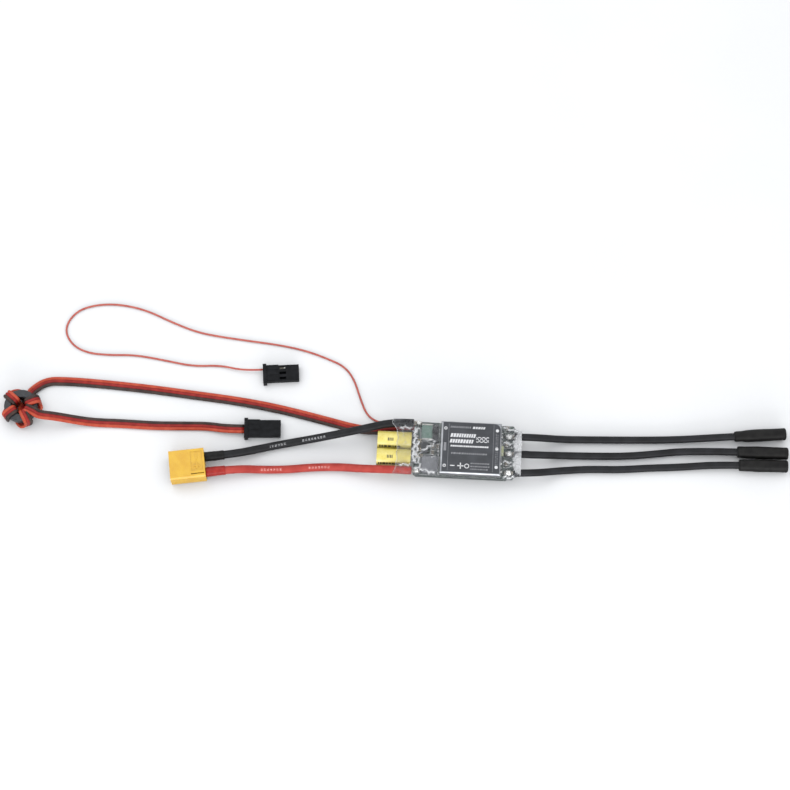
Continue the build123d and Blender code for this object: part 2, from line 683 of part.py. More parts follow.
winding_outer = ring_outer + ribbon_thickness + winding_slack
winding_inner = ring_inner - ribbon_thickness
winding_top = ring_top + ribbon_thickness + winding_ease
receiver_end = Vector(*receiver_route[-1])
receiver_inward = (receiver_end - Vector(*receiver_route[-2])).normalized()
tail_start = Vector(*receiver_tail_route[0])
tail_outward = (Vector(*receiver_tail_route[1]) - tail_start).normalized()

with BuildPart() as receiver_cable_winding:
    with BuildSketch(ring_plane):
        Circle(winding_outer)
        Circle(winding_inner, mode=Mode.SUBTRACT)
    extrude(amount=ring_bottom)
    with BuildSketch(Plane(origin=receiver_end, x_dir=receiver_inward.cross(Vector(0, 0, 1)),
                           z_dir=receiver_inward)):
        Rectangle(ribbon_width, ribbon_thickness)
    extrude(amount=winding_entry)
    side_profile = Plane(origin=(*ring_centre, 0), x_dir=heading(bare_arc_end),
                         z_dir=heading(bare_arc_end - 90))
    with BuildSketch(side_profile) as band:
        with Locations(((winding_inner + winding_outer) / 2, winding_top / 2)):
            Rectangle(winding_outer - winding_inner, winding_top)
        with Locations(((ring_inner + ring_outer) / 2, ring_bottom + ring_height / 2)):
            Rectangle(ring_outer - ring_inner, ring_height, mode=Mode.SUBTRACT)
    revolve(axis=Axis(ring_plane.origin, (0, 0, 1)),
            revolution_arc=360 - (bare_arc_end - bare_arc_start))
    with BuildSketch(Plane(origin=tail_start, x_dir=tail_outward.cross(Vector(0, 0, 1)),
                           z_dir=tail_outward)):
        Rectangle(ribbon_width, ribbon_thickness)
    extrude(amount=-winding_exit)
save(receiver_cable_winding, "receiver_cable_winding")

# ---- telemetry wire ---------------------------------------------------------------------
free_cord("telemetry_wire", telemetry_route, wire_radius)

# ---- servo plugs: flanged housings with three contact cavities --------------------------
cavity_width, cavity_height = 1.9, 1.7
cavity_back = 1.0
window_start, window_length, window_width = 7.5, 3.0, 1.3
servo_z = servo_flange_height / 2
contact_width, contact_height, contact_length = 1.5, 1.3, 9.0
contact_bore = 0.9
contact_start = 4.0


def servo_plane(cable_end, angle):
    """Plane across a servo plug at its cable end, facing its open end."""
    return Plane(origin=(*cable_end, servo_z), x_dir=heading(angle - 90), z_dir=heading(angle))


def servo_housing(plane, window_side):
    """Housing with its latch windows on the upper side (1) or the lower side (-1)."""
    with BuildPart() as housing:
        with BuildSketch(plane):
            Rectangle(servo_flange_width, servo_flange_height)
        extrude(amount=servo_flange_length)
        with BuildSketch(plane.offset(servo_flange_length)):
            Rectangle(servo_plug_width, servo_plug_height)
        extrude(amount=servo_plug_length - servo_flange_length)
        fillet(housing.edges().filter_by(Axis(plane.origin, plane.z_dir)), servo_plug_round)
        with BuildSketch(plane.offset(cavity_back)):
            with GridLocations(servo_pitch, 0, 3, 1):
                Rectangle(cavity_width, cavity_height)
        extrude(amount=servo_plug_length - cavity_back, mode=Mode.SUBTRACT)
        window_middle = plane.origin + plane.z_dir * (window_start + window_length / 2)
        with BuildSketch(Plane(origin=window_middle, x_dir=plane.x_dir, z_dir=(0, 0, 1))):
            with GridLocations(servo_pitch, 0, 3, 1):
                Rectangle(window_width, window_length)
        extrude(amount=window_side * servo_plug_height, mode=Mode.SUBTRACT)
    return housing


def servo_contacts(plane, columns):
    with BuildPart() as contacts:
        for column in columns:
            with BuildSketch(plane.offset(contact_start)):
                with Locations((column * servo_pitch, 0)):
                    Rectangle(contact_width, contact_height)
                    Rectangle(contact_bore, contact_bore, mode=Mode.SUBTRACT)
            extrude(amount=contact_length)
    return contacts


receiver_plane = servo_plane(receiver_tail_route[-1][:2], receiver_plug_angle)
telemetry_cable_end = (Vector(*telemetry_route[-1])
                       + heading(telemetry_plug_angle - 90) * servo_pitch)
telemetry_plane = servo_plane((telemetry_cable_end.X, telemetry_cable_end.Y),
                              telemetry_plug_angle)

save(servo_housing(receiver_plane, -1), "receiver_plug")
save(servo_contacts(receiver_plane, (-1, 0, 1)), "receiver_contacts")
save(servo_housing(telemetry_plane, 1), "telemetry_plug")
save(servo_contacts(telemetry_plane, (-1,)), "telemetry_contact")
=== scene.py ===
"""Looks of the electronic speed controller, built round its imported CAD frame.

Everything is in metres, in the CAD's own frame: +X to the motor leads, +Z up, table at z = 0.
"""

import math

import bmesh
import bpy
import numpy as np
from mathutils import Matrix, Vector, noise
from mathutils.bvhtree import BVHTree


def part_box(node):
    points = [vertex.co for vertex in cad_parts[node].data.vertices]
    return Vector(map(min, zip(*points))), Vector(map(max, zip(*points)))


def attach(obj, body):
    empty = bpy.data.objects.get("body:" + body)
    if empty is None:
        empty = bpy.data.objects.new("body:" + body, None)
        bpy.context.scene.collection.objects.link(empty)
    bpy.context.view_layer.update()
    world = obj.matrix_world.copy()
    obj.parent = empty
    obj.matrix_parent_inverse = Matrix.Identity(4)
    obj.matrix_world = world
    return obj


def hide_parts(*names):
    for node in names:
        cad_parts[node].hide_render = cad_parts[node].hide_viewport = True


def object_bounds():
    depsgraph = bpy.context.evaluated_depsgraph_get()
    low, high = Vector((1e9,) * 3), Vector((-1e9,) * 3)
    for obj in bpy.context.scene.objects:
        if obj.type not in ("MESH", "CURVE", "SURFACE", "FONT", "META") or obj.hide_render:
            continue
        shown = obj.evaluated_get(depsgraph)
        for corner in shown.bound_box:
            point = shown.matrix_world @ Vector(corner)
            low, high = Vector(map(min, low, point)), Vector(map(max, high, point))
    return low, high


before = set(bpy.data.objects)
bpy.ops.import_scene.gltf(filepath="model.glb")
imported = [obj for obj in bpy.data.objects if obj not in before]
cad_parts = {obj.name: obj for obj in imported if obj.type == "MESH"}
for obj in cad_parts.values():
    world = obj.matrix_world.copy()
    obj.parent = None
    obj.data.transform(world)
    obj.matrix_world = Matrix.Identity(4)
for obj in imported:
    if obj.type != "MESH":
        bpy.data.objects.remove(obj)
cad_low, cad_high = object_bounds()

MM = 0.001
UP = Vector((0, 0, 1))

# ---- driving sizes that the looks share --------------------------------------------------
battery_lead_radius = 1.8 * MM
motor_lead_radius = 1.65 * MM
wire_radius = 0.45 * MM
core_radius = 0.75 * MM
core_pitch = 1.35 * MM

# ---- routes of the leads, each from the controller outwards ------------------------------
battery_route_negative = [
    (-0.0164, 0.0114, 0.0071), (-0.0255, 0.0114, 0.0071), (-0.0375, 0.0079, 0.0071),
    (-0.05, 0.0044, 0.0071), (-0.062, 0.0026, 0.0034), (-0.074, 0.0003, 0.00185),
    (-0.0846, -0.0025, 0.00185), (-0.0951, -0.00611, 0.00405), (-0.104952, -0.007757, 0.00405),
]
battery_route_positive = [
    (-0.0164, -0.0109, 0.0071), (-0.026, -0.0109, 0.0071), (-0.0375, -0.0103, 0.0042),
    (-0.0492, -0.0093, 0.00185), (-0.0615, -0.0102, 0.00185), (-0.0725, -0.0118, 0.00185),
    (-0.0832, -0.0124, 0.00185), (-0.0939, -0.01321, 0.00405), (-0.103764, -0.014859, 0.00405),
]
motor_routes = {
    "a": [
        (0.029, 0.0072, 0.0071), (0.0385, 0.0074, 0.0071), (0.0505, 0.0089, 0.0017),
        (0.065, 0.0095, 0.0017), (0.083, 0.0103, 0.0017), (0.1015, 0.0114, 0.0017),
        (0.1198, 0.0131, 0.0029), (0.1356, 0.01476, 0.0029),
    ],
    "b": [
        (0.029, -0.0009, 0.0071), (0.0385, -0.0008, 0.0071), (0.0505, 0.0013, 0.0017),
        (0.064, 0.0017, 0.0017), (0.08, 0.0025, 0.0017), (0.095, 0.0046, 0.0017),
        (0.103, 0.0059, 0.0017), (0.1206, 0.00655, 0.0029), (0.1364, 0.00683, 0.0029),
    ],
    "c": [
        (0.029, -0.0098, 0.0071), (0.0383, -0.0093, 0.0071), (0.05, -0.0059, 0.0017),
        (0.0625, -0.0045, 0.0017), (0.077, -0.004, 0.0017), (0.09, -0.0025, 0.0017),
        (0.103, -0.0015, 0.0017), (0.1204, 0.0003, 0.0029), (0.1362, 0.00069, 0.0029),
    ],
}
receiver_route = [
    (-0.0152, 0.0098, 0.00365), (-0.0225, 0.00975, 0.0033), (-0.031, 0.0091, 0.0013),
    (-0.041, 0.0091, 0.00075), (-0.0545, 0.0122, 0.00075), (-0.0685, 0.0153, 0.00075),
    (-0.083, 0.0181, 0.00075), (-0.099, 0.0202, 0.00075), (-0.116, 0.0217, 0.00075),
    (-0.134, 0.0234, 0.00075), (-0.151, 0.0245, 0.00075), (-0.165, 0.0252, 0.00075),
    (-0.175, 0.0254, 0.00075), (-0.184, 0.0251, 0.00075), (-0.19, 0.0205, 0.00075),
]
receiver_tail_route = [
    (-0.1846, 0.0064, 0.00785), (-0.1782, 0.0063, 0.0072), (-0.17, 0.0066, 0.0028),
    (-0.161, 0.0063, 0.00075), (-0.148, 0.0065, 0.00075), (-0.134, 0.0062, 0.00075),
    (-0.12, 0.0068, 0.00075), (-0.109, 0.0073, 0.00075), (-0.1006, 0.006, 0.002),
    (-0.0925, 0.00642, 0.002),
]
telemetry_route = [
    (-0.0142, 0.011, 0.0014), (-0.0205, 0.0114, 0.00125), (-0.0275, 0.0128, 0.0008),
    (-0.0334, 0.0134, 0.0005), (-0.038, 0.0166, 0.0005), (-0.0412, 0.024, 0.0005),
    (-0.0447, 0.0336, 0.0005), (-0.0495, 0.0394, 0.0005), (-0.057, 0.0426, 0.0005),
    (-0.067, 0.046, 0.0005), (-0.079, 0.0482, 0.0005), (-0.093, 0.0495, 0.0005),
    (-0.107, 0.0509, 0.0005), (-0.118, 0.0526, 0.0005), (-0.13, 0.0569, 0.0005),
    (-0.142, 0.0622, 0.0005), (-0.1545, 0.0646, 0.0005), (-0.1655, 0.0639, 0.0005),
    (-0.1746, 0.0602, 0.0005), (-0.1792, 0.0516, 0.0005), (-0.1754, 0.0438, 0.0005),
    (-0.1675, 0.0398, 0.0005), (-0.157, 0.0393, 0.0005), (-0.146, 0.04, 0.0005),
    (-0.133, 0.0383, 0.0005), (-0.1185, 0.0358, 0.0005), (-0.106, 0.037, 0.0005),
    (-0.0952, 0.0344, 0.0019), (-0.0863, 0.03534, 0.002),
]


# ==== camera, light and table =============================================================
camera_azimuth, camera_elevation = math.radians(3.0), math.radians(70.0)
camera_distance, camera_sensor, camera_lens = 0.9, 36.0, 90.23
picture_shift = Vector((0, 0.00511, 0))
camera_target = (cad_low + cad_high) / 2 + picture_shift
camera_target.z = 0


def add_camera():
    back = Vector((
        math.sin(camera_azimuth) * math.cos(camera_elevation),
        -math.cos(camera_azimuth) * math.cos(camera_elevation),
        math.sin(camera_elevation),
    ))
    camera = bpy.data.objects.new("camera", bpy.data.cameras.new("camera"))
    camera.data.sensor_width = camera_sensor
    camera.data.lens = camera_lens
    camera.data.clip_start = 0.01
    camera.location = camera_target + back * camera_distance
    camera.rotation_mode = "QUATERNION"
    camera.rotation_quaternion = back.to_track_quat("Z", "Y")
    bpy.context.scene.collection.objects.link(camera)
    bpy.context.scene.camera = camera


def add_soft_light(name, place, size, power):
    lamp = bpy.data.objects.new(name, bpy.data.lights.new(name, "AREA"))
    lamp.data.shape = "RECTANGLE"
    lamp.data.size, lamp.data.size_y = size
    lamp.data.energy = power
    lamp.location = camera_target + Vector(place)
    lamp.rotation_mode = "QUATERNION"
    lamp.rotation_quaternion = Vector(place).to_track_quat("Z", "Y")
    bpy.context.scene.collection.objects.link(lamp)


def add_room_light(strength):
    world = bpy.data.worlds.new("studio")
    world.use_nodes = True
    world.node_tree.nodes["Background"].inputs["Color"].default_value = (0.96, 0.98, 1.0, 1)
    world.node_tree.nodes["Background"].inputs["Strength"].default_value = strength
    bpy.context.scene.world = world


# ==== materials ===========================================================================
light_level = 2.2
BLACK = ((29, 29, 31), (41, 41, 44))
METAL = (0.5, 1.0)  # specular level and metallic


def tone(red, green, blue):
    """A colour as it looks under this light, 0 to 255 a channel, as the shader's linear colour."""
    return tuple(((c / 255 + 0.055) / 1.055) ** 2.4 / light_level
                 for c in (red, green, blue)) + (1.0,)


class Finish:
    """A procedural material: one Principled shader and the nodes that feed its sockets."""

    def __init__(self, name, constants):
        self.material = bpy.data.materials.new(name)
        self.material.use_nodes = True
        self.nodes = self.material.node_tree.nodes
        self.nodes.clear()
        self.shader = self.nodes.new("ShaderNodeBsdfPrincipled")
        output = self.nodes.new("ShaderNodeOutputMaterial")
        self.join(self.shader.outputs["BSDF"], output.inputs["Surface"])
        self.place = self.nodes.new("ShaderNodeTexCoord").outputs["Object"]
        for socket, value in constants.items():
            self.shader.inputs[socket].default_value = value

    def join(self, source, target):
        self.material.node_tree.links.new(source, target)

    def feed(self, socket, source):
        self.join(source, self.shader.inputs[socket])

    def noise(self, size, stretch=(1, 1, 1), detail=3.0):
        """Cloudy noise with features of this size in millimetres."""
        mapping = self.nodes.new("ShaderNodeMapping")
        mapping.inputs["Scale"].default_value = stretch
        self.join(self.place, mapping.inputs["Vector"])
        texture = self.nodes.new("ShaderNodeTexNoise")
        texture.inputs["Scale"].default_value = 1 / (size * MM)
        texture.inputs["Detail"].default_value = detail
        self.join(mapping.outputs["Vector"], texture.inputs["Vector"])
        return texture.outputs["Fac"]

    def attribute(self, name):
        node = self.nodes.new("ShaderNodeAttribute")
        node.attribute_name = name
        return node.outputs["Fac"]

    def level(self, source, low, high, start=0.35, end=0.65):
        """Stretches a factor between start and end to the range from low to high."""
        node = self.nodes.new("ShaderNodeMapRange")
        self.join(source, node.inputs["Value"])
        values = {"From Min": start, "From Max": end, "To Min": low, "To Max": high}
        for socket, value in values.items():
            node.inputs[socket].default_value = value
        return node.outputs["Result"]

    def blend(self, source, dark, light, start=0.35, end=0.65):
        """A colour that goes from dark to light as the factor goes from start to end."""
        node = self.nodes.new("ShaderNodeValToRGB")
        low, high = node.color_ramp.elements
        low.position, high.position = start, end
        low.color, high.color = dark, light
        self.join(source, node.inputs["Fac"])
        return node.outputs["Color"]

    def over(self, mask, under, colour):
        """One colour laid over another where the mask is 1."""
        node = self.nodes.new("ShaderNodeMix")
        node.data_type = "RGBA"
        self.join(mask, node.inputs["Factor"])
        self.join(under, node.inputs["A"])
        node.inputs["B"].default_value = colour
        return node.outputs["Result"]

    def math(self, operation, first, second=0.0):
        node = self.nodes.new("ShaderNodeMath")
        node.operation = operation
        for socket, value in zip(node.inputs, (first, second)):
            if isinstance(value, (int, float)):
                socket.default_value = value
            else:
                self.join(value, socket)
        return node.outputs["Value"]

    def bump(self, source, depth):
        """A surface relief of this depth in millimetres, over any relief given before."""
        node = self.nodes.new("ShaderNodeBump")
        node.inputs["Distance"].default_value = depth * MM
        self.join(source, node.inputs["Height"])
        before = self.shader.inputs["Normal"]
        if before.is_linked:
            self.join(before.links[0].from_socket, node.inputs["Normal"])
        self.feed("Normal", node.outputs["Normal"])


def mottled(name, dark, light, patch, rough, grain, depth, specular=0.5, metallic=0.0):
    """Two close tones in patches, a range of roughness and a fine grain. Sizes in mm."""
    finish = Finish(name, {"Specular IOR Level": specular, "Metallic": metallic})
    patches = finish.noise(patch)
    finish.feed("Base Color", finish.blend(patches, tone(*dark), tone(*light)))
    fine = finish.noise(grain, detail=4.0)
    finish.feed("Roughness", finish.level(fine, *rough))
    finish.bump(fine, depth)
    return finish


def brushed_aluminium():
    finish = mottled("bare_aluminium", (166, 168, 172), (196, 198, 202), 5.0, (0.26, 0.42), 0.5,
                     0.004, *METAL)
    brushed = finish.noise(0.12, stretch=(0.04, 1, 1), detail=5.0)
    finish.bump(brushed, 0.01)
    return finish.material


def circuit_board():
    """Grey-green solder mask with paler copper areas under it."""
    dark, light, copper = (66, 76, 74), (88, 98, 95), (112, 124, 116)
    patch, field, track = 3.0, 9.0, 0.035
    finish = mottled("circuit_board", dark, light, patch, (0.3, 0.45), 0.3, 0.004, 0.3)
    tracks = finish.nodes.new("ShaderNodeTexBrick")
    tracks.inputs["Scale"].default_value = 1 / (field * MM)
    tracks.inputs["Mortar Size"].default_value = track
    for part, level in (("Color1", 0), ("Color2", 0), ("Mortar", 1)):
        tracks.inputs[part].default_value = (level, level, level, 1)
    finish.join(finish.place, tracks.inputs["Vector"])
    patches = finish.blend(finish.noise(patch), tone(*dark), tone(*light))
    finish.feed("Base Color", finish.over(tracks.outputs["Color"], patches, tone(*copper)))
    finish.bump(tracks.outputs["Color"], 0.02)
    return finish.material


def printed_silicone(name, dark, light, ink, groups):
    """Silicone lead with small pale dashes printed along it, in groups given in mm."""
    patch, dashes_per_mm, dash_share = 4.0, 0.7, 0.6
    print_side, print_half_width = 0.30, 0.045
    finish = mottled(name, dark, light, patch, (0.42, 0.62), 0.35, 0.012, 0.12)
    uv = finish.nodes.new("ShaderNodeUVMap")
    uv.uv_map = "run"
    split = finish.nodes.new("ShaderNodeSeparateXYZ")
    finish.join(uv.outputs["UV"], split.inputs["Vector"])
    along, around = split.outputs["X"], split.outputs["Y"]

    def within(source, middle, half):
        offset = finish.math("ABSOLUTE", finish.math("SUBTRACT", source, middle))
        return finish.math("LESS_THAN", offset, half)

    beat = finish.math("FRACT", finish.math("MULTIPLY", along, dashes_per_mm))
    dash = finish.math("LESS_THAN", beat, dash_share)
    side = within(around, print_side, print_half_width)
    inside = None
    for start, end in groups:
        near = within(along, (start + end) / 2, (end - start) / 2)
        inside = near if inside is None else finish.math("MAXIMUM", inside, near)
    worn = finish.level(finish.noise(0.5), 0.0, 1.0, 0.35, 0.6)
    printed = finish.math("MULTIPLY", dash, side)
    mask = finish.math("MULTIPLY", printed, finish.math("MULTIPLY", inside, worn))
    patches = finish.blend(finish.noise(patch), tone(*dark), tone(*light))
    finish.feed("Base Color", finish.over(mask, patches, tone(*ink)))
    return finish.material


def capacitor_film():
    """Golden heat-shrunk sleeve, a little uneven in tone, with a clear coat."""
    finish = mottled("gold_sleeve", (232, 212, 96), (246, 230, 128), 3.5, (0.25, 0.4), 0.6, 0.015)
    finish.shader.inputs["Coat Weight"].default_value = 0.2
    return finish.material


def clear_film():
    """Shrink film: nearly clear where it is flat; along its creases, cut edges and slack webs a
    painted highlight makes it paler and less clear.
    """
    finish = Finish("clear_film", {"IOR": 1.45, "Specular IOR Level": 0.5})
    painted_highlight = finish.attribute("painted_highlight")
    fine = finish.noise(0.8, detail=4.0)
    # painted highlight: the film's colour goes paler along creases, cut edges and webs
    finish.feed("Base Color", finish.blend(painted_highlight, tone(150, 152, 156), tone(240, 241, 243),
                                           0.05, 0.5))
    finish.feed("Roughness", finish.level(fine, 0.05, 0.14))
    haze = finish.level(finish.noise(2.5), 0.05, 0.13)
    # painted highlight: the film turns less clear along creases, cut edges and webs
    painted_highlight_alpha = finish.math("MULTIPLY", painted_highlight, finish.level(fine, 0.42, 0.8))
    most = 0.9
    finish.feed("Alpha", finish.math("MINIMUM", finish.math("ADD", haze, painted_highlight_alpha), most))
    finish.bump(finish.noise(3.2, detail=1.5), 0.05)
    return finish.material


# dark tone, light tone, patches, roughness, grain, relief; then the specular level where it isn't
# 0.5, or METAL
plain_finishes = {
    "label_film": ((62, 64, 68), (73, 75, 80), 6.0, (0.35, 0.5), 0.25, 0.01, 0.2),
    "thermal_pad": ((196, 200, 150), (216, 219, 176), 2.0, (0.6, 0.8), 0.4, 0.03),
    "chip_plastic": ((30, 30, 33), (46, 46, 50), 0.9, (0.45, 0.7), 0.12, 0.01, 0.3),
    "plated_pins": ((176, 176, 172), (214, 213, 206), 0.8, (0.2, 0.4), 0.15, 0.005, *METAL),
    "can_aluminium": ((190, 192, 196), (216, 218, 221), 2.0, (0.25, 0.4), 0.2, 0.006, *METAL),
    "rubber_bung": ((34, 33, 32), (52, 50, 48), 1.0, (0.6, 0.8), 0.2, 0.015),
    "tinned_copper": ((168, 160, 148), (214, 208, 198), 0.6, (0.25, 0.45), 0.1, 0.006, *METAL),
    "fuse_green": ((84, 116, 104), (104, 136, 122), 1.2, (0.35, 0.5), 0.2, 0.01),
    "inductor_grey": ((106, 107, 112), (130, 131, 136), 1.5, (0.55, 0.8), 0.15, 0.03),
    "ceramic_tan": ((104, 96, 84), (134, 124, 108), 0.7, (0.4, 0.6), 0.1, 0.006),
    "resistor_black": ((24, 26, 34), (38, 40, 50), 0.5, (0.25, 0.4), 0.1, 0.004),
    "solder": ((236, 236, 234), (254, 254, 252), 0.9, (0.2, 0.4), 0.5, 0.03, *METAL),
    "motor_silicone": (*BLACK, 5.0, (0.42, 0.6), 0.35, 0.012, 0.12),
    "black_shrink": ((22, 21, 21), (34, 33, 32), 2.5, (0.38, 0.6), 0.5, 0.03, 0.1),
    "red_shrink": ((160, 34, 28), (182, 50, 42), 2.0, (0.3, 0.45), 0.5, 0.02, 0.15),
    "yellow_nylon": ((226, 172, 20), (236, 186, 36), 4.0, (0.26, 0.36), 0.3, 0.015, 0.35),
    # painted shade: contacts much darker than bare metal, so the plug's windows read as shaded
    "contact_metal_painted_shade": ((70, 68, 62), (96, 92, 84), 0.6, (0.3, 0.5), 0.15, 0.004, *METAL),
    "gold_plate": ((222, 178, 92), (242, 204, 124), 1.0, (0.15, 0.3), 0.15, 0.004, *METAL),
    "ribbon_orange": ((188, 68, 44), (206, 88, 62), 2.5, (0.34, 0.5), 0.4, 0.01, 0.15),
    "ribbon_red": ((142, 28, 25), (168, 42, 37), 2.5, (0.34, 0.5), 0.4, 0.01, 0.15),
    "ribbon_brown": ((54, 41, 38), (76, 59, 53), 2.5, (0.34, 0.5), 0.4, 0.01, 0.15),
    "wire_pvc": ((190, 84, 72), (206, 104, 88), 2.5, (0.34, 0.5), 0.4, 0.01, 0.3),
    "ferrite": ((33, 34, 38), (51, 53, 58), 1.2, (0.3, 0.5), 0.2, 0.02, 0.25),
    "black_nylon": ((18, 19, 21), (30, 31, 34), 2.5, (0.35, 0.55), 0.15, 0.01, 0.06),
    "white_ink": ((214, 214, 216), (238, 238, 240), 0.5, (0.5, 0.7), 0.1, 0.003),
    "grey_ink": ((120, 120, 125), (146, 146, 150), 0.5, (0.5, 0.7), 0.1, 0.003),
    "black_ink": ((52, 46, 30), (78, 70, 44), 0.4, (0.4, 0.6), 0.1, 0.003),
}
materials = {name: mottled(name, *values).material for name, values in plain_finishes.items()}
materials |= {
    "bare_aluminium": brushed_aluminium(),
    "circuit_board": circuit_board(),
    "gold_sleeve": capacitor_film(),
    "clear_film": clear_film(),
    "black_silicone": printed_silicone("black_silicone", *BLACK, (176, 176, 178),
                                       [(40.0, 51.0), (58.0, 66.0)]),
    "red_silicone": printed_silicone("red_silicone", (176, 58, 51), (194, 76, 67),
                                     (232, 172, 164), [(37.0, 47.0), (58.0, 68.0)]),
}


# ==== pieces ==============================================================================
def add_piece(name, mesh, looks, stands_for=()):
    """Puts a mesh in the scene as a piece of the object, with its materials."""
    obj = bpy.data.objects.new(name, mesh)
    bpy.context.scene.collection.objects.link(obj)
    for look in looks:
        mesh.materials.append(materials[look])
    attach(obj, "root")
    if stands_for:
        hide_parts(*stands_for)
    return obj


def mesh_of(name, points, faces, smooth=True, indices=None):
    mesh = bpy.data.meshes.new(name)
    mesh.from_pydata([tuple(p) for p in points], [], faces)
    mesh.polygons.foreach_set("use_smooth", [smooth] * len(faces))
    if indices is not None:
        mesh.polygons.foreach_set("material_index", indices)
    mesh.update()
    return mesh


def turns_of(steps):
    """Evenly spaced angles once round a circle."""
    return [2 * math.pi * step / steps for step in range(steps)]


def ring_quads(rings, steps, base=0, closed=False):
    """Quads between neighbouring rings of points, and from the last ring to the first if closed."""
    quads = []
    for ring in range(rings if closed else rings - 1):
        near, far = base + ring * steps, base + (ring + 1) % rings * steps
        for step in range(steps):
            after = (step + 1) % steps
            quads.append((near + step, near + after, far + after, far + step))
    return quads


def dress(look, *nodes):
    """Gives carried-over CAD nodes their material."""
    for node in nodes:
        for material_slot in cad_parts[node].material_slots:
            material_slot.link = "OBJECT"
            material_slot.material = materials[look]


# ==== cords ===============================================================================
def smooth_line(route, fineness=10):
    """Points read from the NURBS spline whose control points are the route."""
    curve = bpy.data.curves.new("route", "CURVE")
    curve.dimensions = "3D"
    curve.resolution_u = fineness
    spline = curve.splines.new("NURBS")
    spline.points.add(len(route) - 1)
    for point, place in zip(spline.points, route):
        point.co = (*place, 1)
    spline.order_u = 3
    spline.use_endpoint_u = True
    holder = bpy.data.objects.new("route", curve)
    mesh = bpy.data.meshes.new_from_object(holder)
    line = [vertex.co.copy() for vertex in mesh.vertices]
    bpy.data.objects.remove(holder)
    bpy.data.curves.remove(curve)
    bpy.data.meshes.remove(mesh)
    return line


def directions(line):
    """Unit tangent at each point of a line."""
    ends = list(zip([line[0], *line[:-1]], [*line[1:], line[-1]]))
    return [(after - before).normalized() for before, after in ends]


def sweep(name, line, across, section, indices=None, look_count=1):
    """Tube of a section, given as (across, up) offsets, swept along a line, with closed ends.

    UV map "run" holds millimetres along the tube and the share of the way round it.
    """
    points = []
    for place, tangent, side in zip(line, directions(line), across):
        level = (side - tangent * side.dot(tangent)).normalized()
        up = level.cross(tangent)
        points += [place + level * w + up * n for w, n in section]
    count, rings = len(section), len(line)
    faces = ring_quads(rings, count)
    faces_look = (indices or [0] * count) * (rings - 1) + [look_count - 1] * 2
    faces.append(tuple(range(count))[::-1])
    faces.append(tuple(range((rings - 1) * count, rings * count)))
    mesh = mesh_of(name, points, faces, indices=faces_look)
    lengths = np.concatenate([[0], np.cumsum([(b - a).length for a, b in zip(line, line[1:])])])
    run = mesh.uv_layers.new(name="run").data
    for polygon in mesh.polygons[:-2]:
        for corner, loop in enumerate(polygon.loop_indices):
            vertex = mesh.loops[loop].vertex_index
            step = vertex % count + (count if corner in (1, 2) and vertex % count == 0 else 0)
            run[loop].uv = (lengths[vertex // count] / MM, step / count)
    return mesh


def round_section(radius, steps=28):
    return [(radius * math.cos(turn), radius * math.sin(turn)) for turn in turns_of(steps)]


def level_across(line):
    """Level direction to the right of the travel, at each point."""
    return [tangent.cross(UP).normalized() for tangent in directions(line)]


def round_lead(name, route, radius, look, steps=28):
    line = smooth_line(route)
    mesh = sweep(name, line, level_across(line), round_section(radius, steps))
    return add_piece(f"{name}_jacket", mesh, [look], stands_for=[name]), line


def lathe(name, origin, axis, profile, unevenness, seed):
    """Closed body turned about an axis: profile is a loop of (along, radius) in millimetres."""
    steps, lump_stretch, lump_turn = 40, 0.22, 1.3
    side = axis.cross(UP).normalized()
    lift = side.cross(axis)
    points = []
    for along, radius in profile:
        for turn in turns_of(steps):
            spot = Vector((along * lump_stretch + seed, lump_turn * math.cos(turn),
                           lump_turn * math.sin(turn)))
            grown = radius * (1 + unevenness * noise.noise(spot))
            offset = side * math.cos(turn) + lift * math.sin(turn)
            points.append(origin + axis * along * MM + offset * grown * MM)
    return mesh_of(name, points, ring_quads(len(profile), steps, closed=True))


def end_and_way(route):
    """The far end of a lead and the direction it points there."""
    end, before = Vector(route[-1]), Vector(route[-2])
    return end, (end - before).normalized()


def socket_sleeve(phase, route):
    """Shrink tube over a motor socket: tight on the lead, fuller on the socket, rimmed mouth."""
    end, way = end_and_way(route)
    inset, length, recess = 7.8, 23.0, 1.2
    lead, socket = motor_lead_radius / MM + 0.02, 2.17
    start, shoulder, fullness = {
        "a": (0.0, 2.35, 2.82),
        "b": (0.5, 2.6, 2.84),
        "c": (1.4, 2.62, 2.84),
    }[phase]
    profile = [
        (start, lead), (start, shoulder - 0.3), (start + 0.2, shoulder - 0.1),
        (start + 0.8, shoulder), (start + 3.0, shoulder + 0.05),
        (start + 5.5, fullness - 0.12), (9.0, fullness), (13.0, fullness - 0.03),
        (17.0, fullness - 0.1), (20.6, fullness - 0.12), (21.5, fullness - 0.06),
        (21.75, fullness - 0.14), (22.0, fullness - 0.03), (length - 0.4, fullness - 0.05),
        (length, fullness - 0.35), (length, socket + 0.2), (length - recess, socket),
        (inset, socket), (inset, lead),
    ]
    mesh = lathe(f"socket_sleeve_{phase}", end - way * inset * MM, way, profile,
                 unevenness=0.02, seed=ord(phase) * 3.1)
    return add_piece(f"socket_sleeve_{phase}_tube", mesh, ["black_shrink"],
                     stands_for=[f"socket_sleeve_{phase}"])


def lead_sleeve(side, route):
    """Shrink tube over a battery lead's solder cup, softly stepped down onto the lead."""
    end, way = end_and_way(route)
    cup, length = 4.2, 8.7
    bore = battery_lead_radius / MM + 0.02
    start = end + way * cup * MM
    profile = [
        (0.0, bore), (0.0, bore + 0.3), (-0.5, bore + 0.34), (-2.5, bore + 0.33),
        (-4.6, bore + 0.34), (-5.4, bore + 0.26), (-7.2, bore + 0.25), (-8.3, bore + 0.28),
        (-length, bore + 0.18), (-length, bore),
    ]
    mesh = lathe(f"lead_sleeve_{side}", start, way, profile, unevenness=0.03, seed=len(side))
    look = {"negative": "black_shrink", "positive": "red_shrink"}[side]
    return add_piece(f"lead_sleeve_{side}_tube", mesh, [look],
                     stands_for=[f"lead_sleeve_{side}"])


